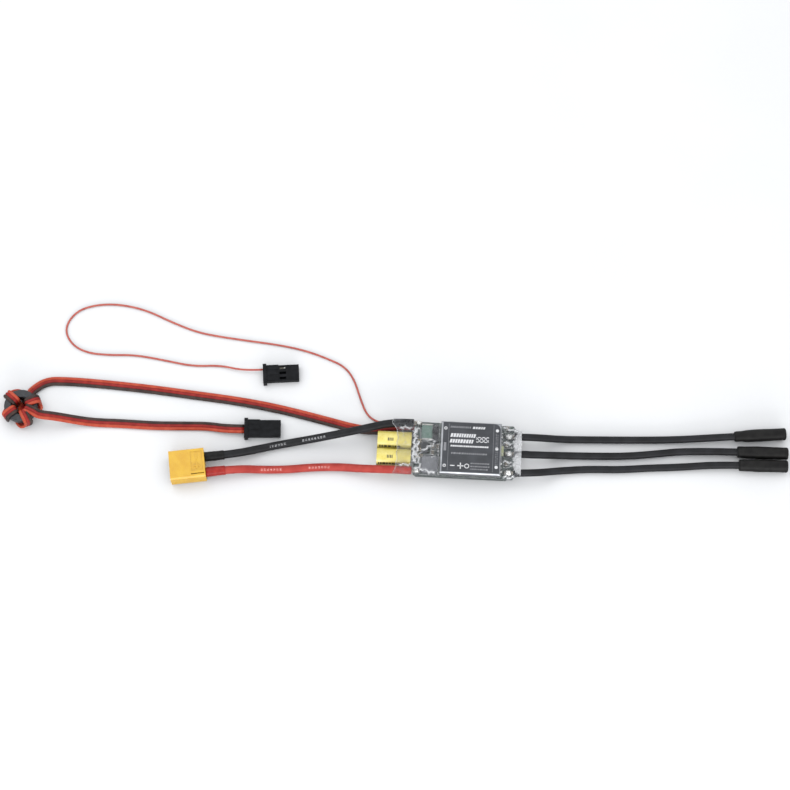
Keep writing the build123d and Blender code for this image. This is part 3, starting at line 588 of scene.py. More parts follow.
# ==== flat marks and small solids =========================================================
def prism(bm, outline, low, high):
    """Upright prism on an outline of (x, y), between two heights."""
    bottom = [bm.verts.new((x, y, low)) for x, y in outline]
    top = [bm.verts.new((x, y, high)) for x, y in outline]
    bm.faces.new(bottom[::-1])
    bm.faces.new(top)
    for a, b, c, d in zip(bottom, bottom[1:] + bottom[:1], top[1:] + top[:1], top):
        bm.faces.new((a, b, c, d))


def band(bm, outer, inner, low, high):
    """Upright prism between two outlines with the same number of points."""
    rows = [[bm.verts.new((x, y, z)) for x, y in outline]
            for outline, z in ((outer, low), (outer, high), (inner, high), (inner, low))]
    for first, second in zip(rows, rows[1:] + rows[:1]):
        for a, b, c, d in zip(first, first[1:] + first[:1], second[1:] + second[:1], second):
            bm.faces.new((a, b, c, d))


def rectangle(x, y, width, height, slant=0.0):
    """Corners of a rectangle from its lower left corner, its top pushed right by slant."""
    return [(x, y), (x + width, y), (x + width + slant, y + height), (x + slant, y + height)]


def disc(x, y, radius, steps=28):
    return [(x + across, y + up) for across, up in round_section(radius, steps)]


def block_row(x, y, length, height, seed, widths, slant=0.25, gap=0.3):
    """A row of plain blocks that stands where a line of print would be."""
    draws = np.random.default_rng(seed)
    blocks, end = [], x + length
    while x < end - widths[0]:
        width = min(draws.uniform(*widths), end - x)
        blocks.append(rectangle(x, y, width, height, slant * height))
        x += width + gap
    return blocks


def mesh_from(bm, name):
    """Turns a bmesh into a mesh with flat shading."""
    bmesh.ops.recalc_face_normals(bm, faces=bm.faces)
    mesh = bpy.data.meshes.new(name)
    bm.to_mesh(mesh)
    bm.free()
    mesh.polygons.foreach_set("use_smooth", [False] * len(mesh.polygons))
    return mesh


def add_marks(name, bm, look):
    return add_piece(name, mesh_from(bm, name), [look])


def joined(node):
    """A bmesh of a CAD node with its split corners joined."""
    bm = bmesh.new()
    bm.from_mesh(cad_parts[node].data)
    bmesh.ops.remove_doubles(bm, verts=bm.verts, dist=1e-6)
    return bm


def placed(outline, origin, along, across):
    """An outline in millimetres laid out from an origin along two level directions."""
    return [tuple((origin + along * x * MM + across * y * MM).xy) for x, y in outline]


def label_marks():
    """Plain print on the label: border lines, rings, dots, block rows and a wave sign."""
    low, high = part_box("label")
    wide, tall = (high.x - low.x) / MM, (high.y - low.y) / MM
    corner, along, across = Vector((low.x, low.y, 0)), Vector((1, 0, 0)), Vector((0, 1, 0))
    ink = 0.02 * MM
    bottom, top = high.z - 2 * ink, high.z
    label_sheet(ink)
    left_line, right_line = 2.5, wide - 3.1
    white, grey = bmesh.new(), bmesh.new()

    def lay(bm, *outlines):
        for outline in outlines:
            prism(bm, placed(outline, corner, along, across), bottom, top)

    def ring(x, y, radius, hole):
        outer, inner = (placed(disc(x, y, size), corner, along, across) for size in (radius, hole))
        band(white, outer, inner, bottom, top)

    for x in (left_line, right_line):
        lay(grey, rectangle(x, 0.5, 0.13, tall - 1.0))
    lay(grey, rectangle(0.55, tall / 2 - 1.9, 1.1, 3.8))
    for y in (tall - 2.9, 2.7):
        ring(1.15, y, 0.72, 0.36)
    for y in (tall - 3.1, tall / 2 - 0.1, 2.9):
        lay(white, disc(wide - 1.45, y, 0.72))
    # ink, start right of the left line, height, length, block height, seed, widths, gap
    rows = [
        (grey, 0.7, tall - 2.6, 9.0, 0.85, 3, (0.4, 0.8), 0.3),
        (white, 10.6, tall - 2.7, 5.4, 1.0, 4, (0.6, 1.0), 0.3),
        (white, 0.8, tall - 6.9, 11.0, 1.7, 5, (0.7, 1.05), 0.3),
        (white, 0.6, tall - 9.6, 10.2, 1.7, 6, (0.7, 1.05), 0.3),
        (white, 1.0, tall / 2 + 0.1, 17.2, 0.75, 7, (0.4, 0.9), 0.16),
        (grey, 1.4, tall / 2 - 3.3, 16.0, 0.8, 8, (0.3, 1.1), 0.35),
        (grey, 10.2, 3.9, 8.4, 0.6, 9, (0.4, 0.9), 0.3),
        (grey, 10.2, 2.5, 8.4, 0.6, 10, (0.4, 0.9), 0.3),
        (grey, 10.2, 1.2, 8.4, 0.6, 11, (0.4, 0.9), 0.3),
    ]
    for bm, x, y, length, height, seed, widths, gap in rows:
        lay(bm, *block_row(left_line + x, y, length, height, seed, widths, gap=gap))
    for phase in range(3):
        lay(white, wave_outline(left_line + 12.4, tall - 7.7, phase))
    lay(white, rectangle(left_line + 1.2, 2.6, 2.0, 0.45),
        rectangle(left_line + 4.4, 2.6, 2.8, 0.5), rectangle(left_line + 5.55, 1.45, 0.5, 2.8))
    ring(left_line + 8.6, 2.85, 1.1, 0.75)
    for seed, x in ((40, wide - 2.0), (41, wide - 1.3)):
        for block in block_row(4.2, 0, tall - 8.4, 1.0, seed, (0.3, 0.8), slant=0.0):
            lay(grey, rectangle(x, block[0][0], 0.4, 0.3))
    add_marks("label_marks_white", white, "white_ink")
    add_marks("label_marks_grey", grey, "grey_ink")


def label_sheet(ink):
    """The label itself, set down by the thickness of its print."""
    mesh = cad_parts["label"].data.copy()
    mesh.materials.clear()
    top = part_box("label")[1].z
    for vertex in mesh.vertices:
        vertex.co.z = min(vertex.co.z, top - ink)
    add_piece("label_sheet", mesh, ["label_film"], stands_for=["label"])


def wave_outline(x, y, phase):
    """A bold strip along one wave of a three-phase sign."""
    span, swing, half, parts = 5.6, 1.15, 0.2, 24
    shares = [step / parts for step in range(parts + 1)]
    crest = [(x + span * t, y + swing * math.sin(2 * math.pi * (t - phase / 3))) for t in shares]
    return [(a, b - half) for a, b in crest] + [(a, b + half) for a, b in crest[::-1]]


def joined_copy(node):
    """A copy of a CAD node's mesh with its split corners joined."""
    return mesh_from(joined(node), node)


def cut_away(piece, cutter_mesh):
    """Cuts a mesh out of a piece and keeps the result as the piece's own mesh."""
    cutter = bpy.data.objects.new("cutter", cutter_mesh)
    bpy.context.scene.collection.objects.link(cutter)
    cut = piece.modifiers.new("cut", "BOOLEAN")
    cut.operation, cut.object, cut.solver = "DIFFERENCE", cutter, "EXACT"
    graph = bpy.context.evaluated_depsgraph_get()
    result = bpy.data.meshes.new_from_object(piece.evaluated_get(graph))
    piece.modifiers.remove(cut)
    piece.data = result
    bpy.data.objects.remove(cutter)


def plug_frame():
    """Middle of the battery plug's cable face, its direction, and level across to the plus side."""
    cup_depth = 4.2 * MM
    negative, way = end_and_way(battery_route_negative)
    positive, _ = end_and_way(battery_route_positive)
    origin = (negative + positive) / 2 + way * cup_depth
    across = way.cross(UP)
    return origin, way, across if (positive - origin).dot(across) > 0 else -across


def plug_body():
    """The plug's shell, with a sunk panel and a groove on top, and raised polarity signs."""
    origin, way, across = plug_frame()
    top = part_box("battery_plug_shell")[1].z
    panel, panel_depth = rectangle(0.9, -5.4, 5.2, 9.0), 0.25 * MM
    groove, groove_depth = rectangle(0.5, 4.7, 5.9, 0.5), 0.8 * MM
    body = add_piece("battery_plug_body", joined_copy("battery_plug_shell"), ["yellow_nylon"],
                     stands_for=["battery_plug_shell"])
    for outline, depth in ((panel, panel_depth), (groove, groove_depth)):
        bm = bmesh.new()
        prism(bm, placed(outline, origin, way, across), top - depth, top + depth)
        cut_away(body, mesh_from(bm, "cutter"))
    bm = bmesh.new()
    length, width = 2.8, 0.7
    x, plus_y, minus_y = 3.5, 1.3, -3.1
    arm = (length - width) / 2
    for outline in (rectangle(x - width / 2, minus_y - length / 2, width, length),
                    rectangle(x - width / 2, plus_y - length / 2, width, length),
                    rectangle(x - length / 2, plus_y - width / 2, arm, width),
                    rectangle(x + width / 2, plus_y - width / 2, arm, width)):
        prism(bm, placed(outline, origin, way, across), top - 1.5 * panel_depth, top)
    return [body, add_marks("battery_plug_marks", bm, "yellow_nylon")]


def servo_details(name, route, across_shift, lance=False):
    """Low ribs, a side key and an end lip on a servo plug, and its sprung contact if it shows."""
    end, way = end_and_way(route)
    way = Vector((way.x, way.y, 0)).normalized()
    across = UP.cross(way)
    origin = Vector((end.x, end.y, 0)) - across * across_shift
    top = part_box(name)[1].z - 0.65 * MM
    pitch, rib_width, sunk = 2.54, 1.5, 0.1 * MM
    rib_top, lip_top = top + 0.16 * MM, top + 0.12 * MM
    solids = [(rectangle(1.6, y - rib_width / 2, 5.4, rib_width), top - sunk, rib_top)
              for y in (-pitch, 0.0, pitch)]
    solids.append((rectangle(1.5, 3.7, 5.6, 0.5), 0.8 * MM, 3.1 * MM))
    solids.append((rectangle(15.4, -3.6, 0.7, 7.2), top - sunk, lip_top))
    bm = bmesh.new()
    for outline, bottom, height in solids:
        prism(bm, placed(outline, origin, way, across), bottom, height)
    pieces = [add_marks(f"{name}_ribs", bm, "black_nylon")]
    if lance:
        spot = origin + (way * 9.9 + across * pitch) * MM
        mesh = dome("contact_lance", spot, 0.62 * MM, 2.6 * MM, 0.6 * MM)
        pieces.append(add_piece("contact_lance", mesh, ["plated_pins"]))
    return pieces


def dome(name, centre, radius, base, height):
    """A closed low dome standing on a level base."""
    rings, steps = 6, 20
    points = [(centre.x, centre.y, base + height)]
    for ring in range(1, rings + 1):
        share = ring / rings
        rise = height * math.sqrt(1 - share ** 2)
        points += [(centre.x + radius * share * math.cos(turn),
                    centre.y + radius * share * math.sin(turn), base + rise)
                   for turn in turns_of(steps)]
    faces = [(0, 1 + step, 1 + (step + 1) % steps) for step in range(steps)]
    faces += [(a, d, c, b) for a, b, c, d in ring_quads(rings, steps, base=1)]
    faces.append(tuple(range(1 + (rings - 1) * steps, 1 + rings * steps))[::-1])
    return mesh_of(name, points, faces)


def battery_leads():
    for side, route, look in (
        ("negative", battery_route_negative, "black_silicone"),
        ("positive", battery_route_positive, "red_silicone"),
    ):
        lead, line = round_lead(f"battery_lead_{side}", route, battery_lead_radius, look)
        pieces = [lead_sleeve(side, route), f"battery_pin_{side}"]
        if side == "negative":
            pieces += plug_body()


def motor_leads():
    for phase, route in motor_routes.items():
        lead, line = round_lead(f"motor_lead_{phase}", route, motor_lead_radius,
                                "motor_silicone")
        socket_sleeve(phase, route)


def telemetry_lead():
    lead, line = round_lead("telemetry_wire", telemetry_route, wire_radius, "wire_pvc",
                            steps=14)
    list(servo_details("telemetry_plug", telemetry_route, 2.54 * MM, lance=True))


def around_ring(azimuth, radius, height):
    """A point round the ring's axis, from degrees and metres."""
    low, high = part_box("ferrite_ring")
    turn = math.radians(azimuth)
    return Vector(((low.x + high.x) / 2 + radius * math.cos(turn),
                   (low.y + high.y) / 2 + radius * math.sin(turn), height))


def level_heading(degrees):
    return Vector((math.cos(math.radians(degrees)), math.sin(math.radians(degrees)), 0))


def winding(core_height):
    """Control points of the ribbon's turns round the ring, and where its orange core points.

    Each turn comes up the hole, goes out over the ring at its own azimuth, and comes back
    underneath to the hole at the next one.
    """
    low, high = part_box("ferrite_ring")
    ring_outer = (high.x - low.x) / 2
    outside = ring_outer + core_height + 0.35 * MM
    hole = 2.7 * MM
    over, middle = high.z + core_height, (low.z + high.z) / 2
    table, stacked = core_height + 0.3 * MM, 3 * core_height - 0.1 * MM
    entry_azimuth = 72.0
    passes = [300.0, 222.0, 143.0, 24.0, -24.0]
    undersides = [table, table, stacked, table]
    places, headings = [], []
    # the way in, flat under the ring and up its hole: radius in mm, height, azimuth, heading
    for radius, height, azimuth, heading in (
        (7.0, core_height, entry_azimuth, 160.0),
        (4.6, core_height, entry_azimuth, 164.0),
        (2.2, core_height + 0.5 * MM, entry_azimuth, 172.0),
        (0.4, 2.6 * MM, entry_azimuth, 184.0),
        (1.9, 4.0 * MM, passes[0], 196.0),
    ):
        places.append(around_ring(azimuth, radius * MM, height))
        headings.append(level_heading(heading))
    points_a_turn, squareness = 16, 0.5
    for azimuth, following, underside in zip(passes, passes[1:], undersides):
        for step in range(points_a_turn):
            angle = math.pi - 2 * math.pi * step / points_a_turn
            out, rise = (math.copysign(abs(part) ** squareness, part)
                         for part in (math.cos(angle), math.sin(angle)))
            reach = over - middle if rise > 0 else middle - underside
            radius = (hole + outside) / 2 + (outside - hole) / 2 * out
            share = min(max(-angle / math.pi, 0.0), 1.0)
            share = share * share * (3 - 2 * share)
            turned = azimuth + (following - azimuth) * share
            places.append(around_ring(turned, radius, middle + reach * rise))
            headings.append(level_heading(turned - 90))
    for radius, height in ((hole, middle + 0.6 * (over - middle)), (hole + 0.5 * MM, over),
                           (4.9 * MM, over), (7.4 * MM, over)):
        places.append(around_ring(passes[-1], radius, height))
        headings.append(level_heading(passes[-1] - 90))
    return places, headings


def ribbon_section():
    """Outline of three round cores side by side, and which core each step belongs to."""
    meet = math.degrees(math.acos(core_pitch / 2 / core_radius))
    # place of the core, start and end of its arc, steps of the arc, look
    arcs = [
        (1, -180 + meet, 180 - meet, 18, 0),
        (0, meet, 180 - meet, 8, 1),
        (-1, meet, 360 - meet, 18, 2),
        (0, 180 + meet, 360 - meet, 8, 1),
    ]
    section, cores = [], []
    for core, start, end, steps, look in arcs:
        for step in range(steps):
            turn = math.radians(start + (end - start) * step / steps)
            section.append((core * core_pitch + core_radius * math.cos(turn),
                            core_radius * math.sin(turn)))
            cores.append(look)
    return section, cores


def receiver_ribbon():
    """The flat three-core lead: out to the ring, round it, and back to its plug."""
    fineness = 8
    turns, turn_headings = winding(core_radius)
    out_places = [Vector(place) for place in receiver_route]
    back_places = [Vector(place) for place in receiver_tail_route]
    places = out_places + turns + back_places
    headings = level_across(out_places) + turn_headings + level_across(back_places)
    rail = [place + heading * MM for place, heading in zip(places, headings)]
    line = smooth_line(places, fineness)
    rail_line = smooth_line(rail, fineness)
    across = [(side - centre).normalized() for side, centre in zip(rail_line, line)]
    section, cores = ribbon_section()
    looks = ["ribbon_orange", "ribbon_red", "ribbon_brown"]
    mesh = sweep("receiver_cable", line, across, section, cores, len(looks))
    lead = add_piece("receiver_cable_jacket", mesh, looks,
                     stands_for=["receiver_cable", "receiver_cable_winding",
                                 "receiver_cable_tail"])
    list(servo_details("receiver_plug", receiver_tail_route, 0.0))


# ==== capacitors and electronics ==========================================================
def solid_boxes(node):
    """(lowest, highest) corner of each separate solid of a CAD node."""
    bm = joined(node)
    left, boxes = set(bm.verts), []
    while left:
        todo, found = [left.pop()], []
        while todo:
            vertex = todo.pop()
            found.append(vertex.co.copy())
            for edge in vertex.link_edges:
                other = edge.other_vert(vertex)
                if other in left:
                    left.remove(other)
                    todo.append(other)
        boxes.append((Vector(map(min, *found)), Vector(map(max, *found))))
    bm.free()
    return sorted(boxes, key=lambda pair: tuple(pair[0]))


def capacitor_marks():
    """Plain dark blocks wrapped on each capacitor's near shoulder, and a faint row on top."""
    lift, thickness, shares = 0.015 * MM, 0.02 * MM, 5
    rim = [0, 1, 3, 5, 7, 9, 8, 6, 4, 2]
    # degrees from the top, spread, seed, start and run along the sleeve, block widths
    rows = [(-62, 17, 31, 0.8, 9.6, (0.35, 1.5)), (-12, 20, 37, 4.6, 2.6, (0.25, 0.5))]
    points, faces = [], []
    for place in ("rear", "front"):
        low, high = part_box(f"capacitor_{place}_sleeve")
        radius = (high.z - low.z) / 2 + lift
        middle_y, middle_z = (low.y + high.y) / 2, (low.z + high.z) / 2
        for centre, spread, seed, start_x, run, widths in rows:
            for block in block_row(start_x, 0, run, 1.0, seed + len(place), widths, slant=0.1,
                                   gap=0.28):
                start = len(points)
                for outer in (radius, radius + thickness):
                    for share in range(shares):
                        turn = math.radians(centre + spread * (share / (shares - 1) - 0.5))
                        points += [Vector((low.x + x * MM, middle_y + outer * math.sin(turn),
                                           middle_z + outer * math.cos(turn)))
                                   for x in (block[0][0], block[1][0])]
                for layer in (0, 2 * shares):
                    for share in range(shares - 1):
                        a = start + layer + 2 * share
                        quad = (a, a + 1, a + 3, a + 2)
                        faces.append(quad if layer else quad[::-1])
                for a, b in zip(rim, rim[1:] + rim[:1]):
                    faces.append((start + a, start + b, start + b + 2 * shares,
                                  start + a + 2 * shares))
    add_piece("capacitor_marks", mesh_of("capacitor_marks", points, faces, smooth=False),
              ["black_ink"])


def chip_ends():
    """Plated end caps of the ceramic capacitors and resistors, each with its solder wedge."""
    bm = bmesh.new()
    proud, depth, round_off = 0.03 * MM, 0.32 * MM, 0.08 * MM
    wedge_inset, wedge_reach, wedge_share = 0.05 * MM, 0.4 * MM, 0.55
    for low, high in solid_boxes("ceramic_capacitors") + solid_boxes("chip_resistors"):
        size, middle = high - low, (low + high) / 2
        for side in (-1, 1):
            outer = high.y + proud if side > 0 else low.y - proud
            inner = outer - side * depth
            made = bmesh.ops.create_cube(bm, size=1.0)["verts"]
            for vertex in made:
                vertex.co = Vector((middle.x + vertex.co.x * (size.x + 2 * proud),
                                    (outer + inner) / 2 + vertex.co.y * depth,
                                    middle.z + vertex.co.z * (size.z + 2 * proud)))
            edges = {edge for vertex in made for edge in vertex.link_edges}
            bmesh.ops.bevel(bm, geom=list(edges), offset=round_off, segments=2, affect="EDGES")
            slope = [(outer, low.z + wedge_share * size.z), (outer, low.z),
                     (outer + side * wedge_reach, low.z)]
            ends = [[bm.verts.new((x, y, z)) for y, z in slope]
                    for x in (low.x + wedge_inset, high.x - wedge_inset)]
            bm.faces.new(ends[0])
            bm.faces.new(ends[1][::-1])
            for step in range(3):
                after = (step + 1) % 3
                bm.faces.new((ends[0][step], ends[0][after], ends[1][after], ends[1][step]))
    add_marks("chip_ends", bm, "solder")


def board_print():
    """White outlines on the main board round its parts, with rows of vias between them."""
    low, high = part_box("main_board")
    bottom, top = high.z - 0.01 * MM, high.z + 0.02 * MM
    line, gap = 0.16 * MM, 0.55 * MM
    boxes = solid_boxes("ceramic_capacitors") + [
        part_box(node) for node in ("fuse_terminals", "inductor_body", "regulator_chip")]
    bm = bmesh.new()
    for part_low, part_high in boxes:
        if part_low.x - gap < low.x or part_high.x + gap > high.x:
            continue
        width, height = part_high.x - part_low.x, part_high.y - part_low.y
        outer, hole = (rectangle(part_low.x - room, part_low.y - room, width + 2 * room,
                                 height + 2 * room) for room in (gap, gap - line))
        band(bm, outer, hole, bottom, top)
    add_marks("board_print", bm, "white_ink")
    vias = bmesh.new()
    via_radius, via_hole, sides = 0.28 * MM, 0.14 * MM, 12
    for column in range(4):
        for row in range(9):
            x, y = low.x + (1.2 + 0.9 * column) * MM, (-4.0 + 1.0 * row) * MM
            band(vias, disc(x, y, via_radius, sides), disc(x, y, via_hole, sides), bottom, top)
    add_marks("board_vias", vias, "gold_plate")


def bare_strands():
    """The stripped lead ends: fine wires laid in a gentle twist."""
    wire, rings, sides, twist = 0.17 * MM, 12, 8, 0.9
    layers = ((0.0, 1), (0.42, 6), (0.82, 12))
    section = round_section(wire, sides)
    points, faces = [], []
    for low, high in solid_boxes("lead_strands"):
        radius = (high.z - low.z) / 2 - 0.6 * wire
        middle_y, middle_z = (low.y + high.y) / 2, (low.z + high.z) / 2
        for out, start in [(out, start) for out, count in layers for start in turns_of(count)]:
            base = len(points)
            for step in range(rings):
                share = step / (rings - 1)
                turn = start + twist * share
                place = Vector((low.x + share * (high.x - low.x),
                                middle_y + out * radius * math.cos(turn),
                                middle_z + out * radius * math.sin(turn)))
                points += [place + Vector((0, a, b)) for a, b in section]
            faces += ring_quads(rings, sides, base)
            faces.append(tuple(range(base, base + sides))[::-1])
            faces.append(tuple(range(base + (rings - 1) * sides, base + rings * sides)))
    add_piece("lead_strand_wires", mesh_of("lead_strand_wires", points, faces),
              ["tinned_copper"], stands_for=["lead_strands"])


def solder_mound(name, node, height, grow):
    """Lumpy domes of solder over the stripped lead ends."""
    rings, steps = 9, 28
    lump_spread, lump_apart, lump_depth = 2.2, 3.7, 0.16
    points, faces = [], []
    for index, (low, high) in enumerate(solid_boxes(node)):
        middle = (low + high) / 2
        half_x = (high.x - low.x) / 2 * grow[0]
        half_y = (high.y - low.y) / 2 * grow[1]
        base = len(points)
        for ring in range(rings):
            share = (ring + 1) / rings
            fall = (1 - share ** 2.6) ** 0.75
            for turn in turns_of(steps):
                spot = Vector((lump_spread * share * math.cos(turn),
                               lump_spread * share * math.sin(turn),
                               lump_apart * index + low.x / MM))
                lump = 1 + lump_depth * noise.noise(spot)
                rise = height * fall * (1 + 0.3 * noise.noise(spot * 1.7))
                points.append(Vector((middle.x + half_x * share * lump * math.cos(turn),
                                      middle.y + half_y * share * lump * math.sin(turn),
                                      low.z + max(rise, 0))))
        peak = len(points)
        points.append(Vector((middle.x, middle.y, low.z + height)))
        faces += [quad[::-1] for quad in ring_quads(rings, steps, base)]
        faces += [(base + step, base + (step + 1) % steps, peak) for step in range(steps)]
        faces.append(tuple(range(base + (rings - 1) * steps, base + rings * steps))[::-1])
    add_piece(name, mesh_of(name, points, faces), ["solder"], stands_for=[node])


# ==== shrink film =========================================================================
film_margin = 0.14 * MM
film_reach_left, film_reach_right = -23.4 * MM, 32.1 * MM
film_stations, film_steps = 124, 168
# each crease also carries a painted highlight, stronger the taller the crease
film_creases = [
    # start (x, y), end (x, y), half width and height, in millimetres
    ((-15.3, 9.2), (-16.0, -7.8), 0.5, 0.55),
    ((-13.9, 3.2), (-15.0, -8.6), 0.4, 0.4),
    ((-16.9, 6.6), (-13.0, 8.6), 0.35, 0.35),
    ((-17.2, -3.0), (-13.4, -4.6), 0.35, 0.3),
    ((-12.8, -2.4), (-6.4, 1.6), 0.35, 0.3),
    ((-11.6, 3.4), (-5.6, 2.6), 0.3, 0.25),
    ((-13.8, -4.0), (-12.6, -10.6), 0.35, 0.3),
    ((-15.8, -9.6), (-5.4, -12.3), 0.4, 0.35),
    ((-22.6, -8.9), (-16.4, -8.7), 0.35, 0.3),
    ((-23.0, 8.6), (-16.6, 8.4), 0.4, 0.3),
    ((23.2, 10.9), (31.4, 9.4), 0.4, 0.4),
    ((23.6, 3.4), (28.2, 3.0), 0.3, 0.3),
    ((23.4, -5.2), (28.4, -5.6), 0.3, 0.3),
    ((28.8, 5.4), (29.0, 1.0), 0.4, 0.3),
    ((28.8, -2.6), (29.2, -8.0), 0.4, 0.3),
    ((24.0, -12.0), (31.4, -12.0), 0.35, 0.3),
]


def smooth_step(value):
    value = np.clip(value, 0.0, 1.0)
    return value * value * (3 - 2 * value)


def film_contents():
    """One search tree of all that the film lies on, the plate only up to the film's edge."""
    wrapped = [
        "main_board", "control_board", "microcontroller", "gate_drivers", "control_chip_parts",
        "thermal_pad", "fuse_body", "fuse_terminals", "inductor_body", "regulator_chip",
        "rectifier_diodes", "ceramic_capacitors", "capacitor_rear_sleeve",
        "capacitor_front_sleeve", "battery_lead_negative", "battery_lead_positive",
        "motor_lead_a", "motor_lead_b", "motor_lead_c", "motor_solder_joints",
        "battery_solder_joints", "receiver_cable", "telemetry_wire", "heatsink_plate",
    ]
    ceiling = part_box("heatsink_plate")[0].z + 1.0 * MM
    points, faces = [], []
    for node in wrapped:
        mesh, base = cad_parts[node].data, len(points)
        for vertex in mesh.vertices:
            point = vertex.co.copy()
            if node == "heatsink_plate":
                point.z = min(point.z, ceiling)
            points.append(point)
        faces += [tuple(base + corner for corner in polygon.vertices) for polygon in mesh.polygons]
    return BVHTree.FromPolygons(points, faces)


def film_directions():
    """Rays from the film's axis, closer together where the flat body turns its corners."""
    wide, tall, squareness, samples = 13.4 * MM, 4.6 * MM, 0.4, 4000
    angles = np.linspace(0, 2 * math.pi, samples, endpoint=False)
    loop = np.stack([np.sign(part) * np.abs(part) ** squareness * half
                     for part, half in ((np.cos(angles), wide), (np.sin(angles), tall))], axis=1)
    steps = np.linalg.norm(np.roll(loop, -1, axis=0) - loop, axis=1)
    along = np.concatenate([[0], np.cumsum(steps)])
    marks = np.linspace(0, along[-1], film_steps, endpoint=False)
    closed = np.concatenate([loop, loop[:1]])
    spots = np.stack([np.interp(marks, along, closed[:, k]) for k in range(2)], axis=1)
    return spots / np.linalg.norm(spots, axis=1)[:, None]


def cross(first, second):
    return first[..., 0] * second[..., 1] - first[..., 1] * second[..., 0]


def shrunk_film():
    """Distances from the axis of a taut skin over the contents, and the axis heights."""
    tree = film_contents()
    stations = np.linspace(film_reach_left, film_reach_right, film_stations)
    rays = film_directions()
    axis_height, axis_rise, rise_start, rise_run = 4.7 * MM, 2.0 * MM, 28.0 * MM, 4.0 * MM
    axis = axis_height + axis_rise * smooth_step((stations - rise_start) / rise_run)
    far, least, floor_gap, no_limit = 40 * MM, 0.5 * MM, 0.12 * MM, 1.0
    relaxing_rounds = 900
    held = np.full((film_stations, film_steps), least)
    for i, x in enumerate(stations):
        for j, (across, rise) in enumerate(rays):
            start = Vector((x, across * far, axis[i] + rise * far))
            place = tree.ray_cast(start, Vector((0, -across, -rise)), far)[0]
            if place is not None:
                held[i, j] = (place - Vector((x, 0, axis[i]))).length + film_margin
    room = np.full_like(held, no_limit)
    down = rays[:, 1] < -1e-6
    room[:, down] = (axis[:, None] - floor_gap) / -rays[None, down, 1]
    held = np.minimum(held, room)
    skin = held.copy()
    for _ in range(relaxing_rounds):
        spots = skin[..., None] * rays[None]
        before, after = np.roll(spots, 1, axis=1), np.roll(spots, -1, axis=1)
        chord = after - before
        hoop = cross(before, after) / cross(np.broadcast_to(rays, chord.shape), chord)
        full = spots.copy()
        full[..., 1] += axis[:, None]
        mean = full.copy()
        mean[1:-1] = (full[:-2] + full[2:]) / 2
        mean[0], mean[-1] = full[1], full[-2]
        mean[..., 1] -= axis[:, None]
        run = (mean * rays[None]).sum(axis=2)
        skin = np.minimum(np.maximum(0.5 * hoop + 0.5 * run, held), room)
    return stations, rays, axis, skin, skin - held


def ridge_height(x, y, start, end, half_width):
    """How much of a crease is at each point: 1 along its middle, 0 away from it."""
    run = np.array(end) - np.array(start)
    length = np.hypot(*run)
    way = run / length
    offset_x, offset_y = x - start[0], y - start[1]
    along = offset_x * way[0] + offset_y * way[1]
    wander = 0.35 * np.sin(along * 1.9 + start[0]) + 0.2 * np.sin(along * 4.3 + start[1])
    away = offset_y * way[0] - offset_x * way[1] - wander
    fade_run = 1.2
    fade = smooth_step(along / fade_run) * smooth_step((length - along) / fade_run)
    return fade * np.exp(-(away / half_width) ** 2)


def small_creases():
    """Short wrinkles scattered over the film's slack zones, in rows like film_creases."""
    draws = np.random.default_rng(11)
    small = []
    for zone_x, zone_y, count in (((-16.8, -4.8), (-12.0, 11.0), 20),
                                  ((22.8, 31.0), (-12.0, 11.5), 10),
                                  ((-23.0, -17.0), (-8.0, 8.0), 4)):
        for _ in range(count):
            begin = (draws.uniform(*zone_x), draws.uniform(*zone_y))
            turn, length = draws.uniform(0, math.pi), draws.uniform(1.5, 4.0)
            finish = (begin[0] + length * math.cos(turn), begin[1] + length * math.sin(turn))
            small.append((begin, finish, draws.uniform(0.14, 0.26), draws.uniform(0.08, 0.2)))
    return small


def left_edge_pull(x, y):
    """How far the film runs on past its last station at its uneven left edge."""
    near_left = smooth_step((film_reach_left + 5 * MM - x) / (5 * MM))
    rear = 2.4 * MM * smooth_step((y - 6 * MM) / (5 * MM))
    front = 1.1 * MM * smooth_step((-9 * MM - y) / (3 * MM))
    ripple = 0.25 * MM * np.sin(y / MM * 1.3)
    return near_left * (rear + front + ripple)


def film_faces(points):
    """The film's quads, without those over the plate's window."""
    low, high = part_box("heatsink_plate")
    gap, above = 0.3 * MM, low.z - 0.6 * MM
    faces = []
    for quad in ring_quads(film_stations, film_steps):
        x, y, z = (points[quad[0]] + points[quad[2]]) / 2
        over_plate = (low.x - gap < x < high.x + gap and low.y - gap < y < high.y + gap
                      and z > above)
        if not over_plate:
            faces.append(quad[::-1])
    return faces


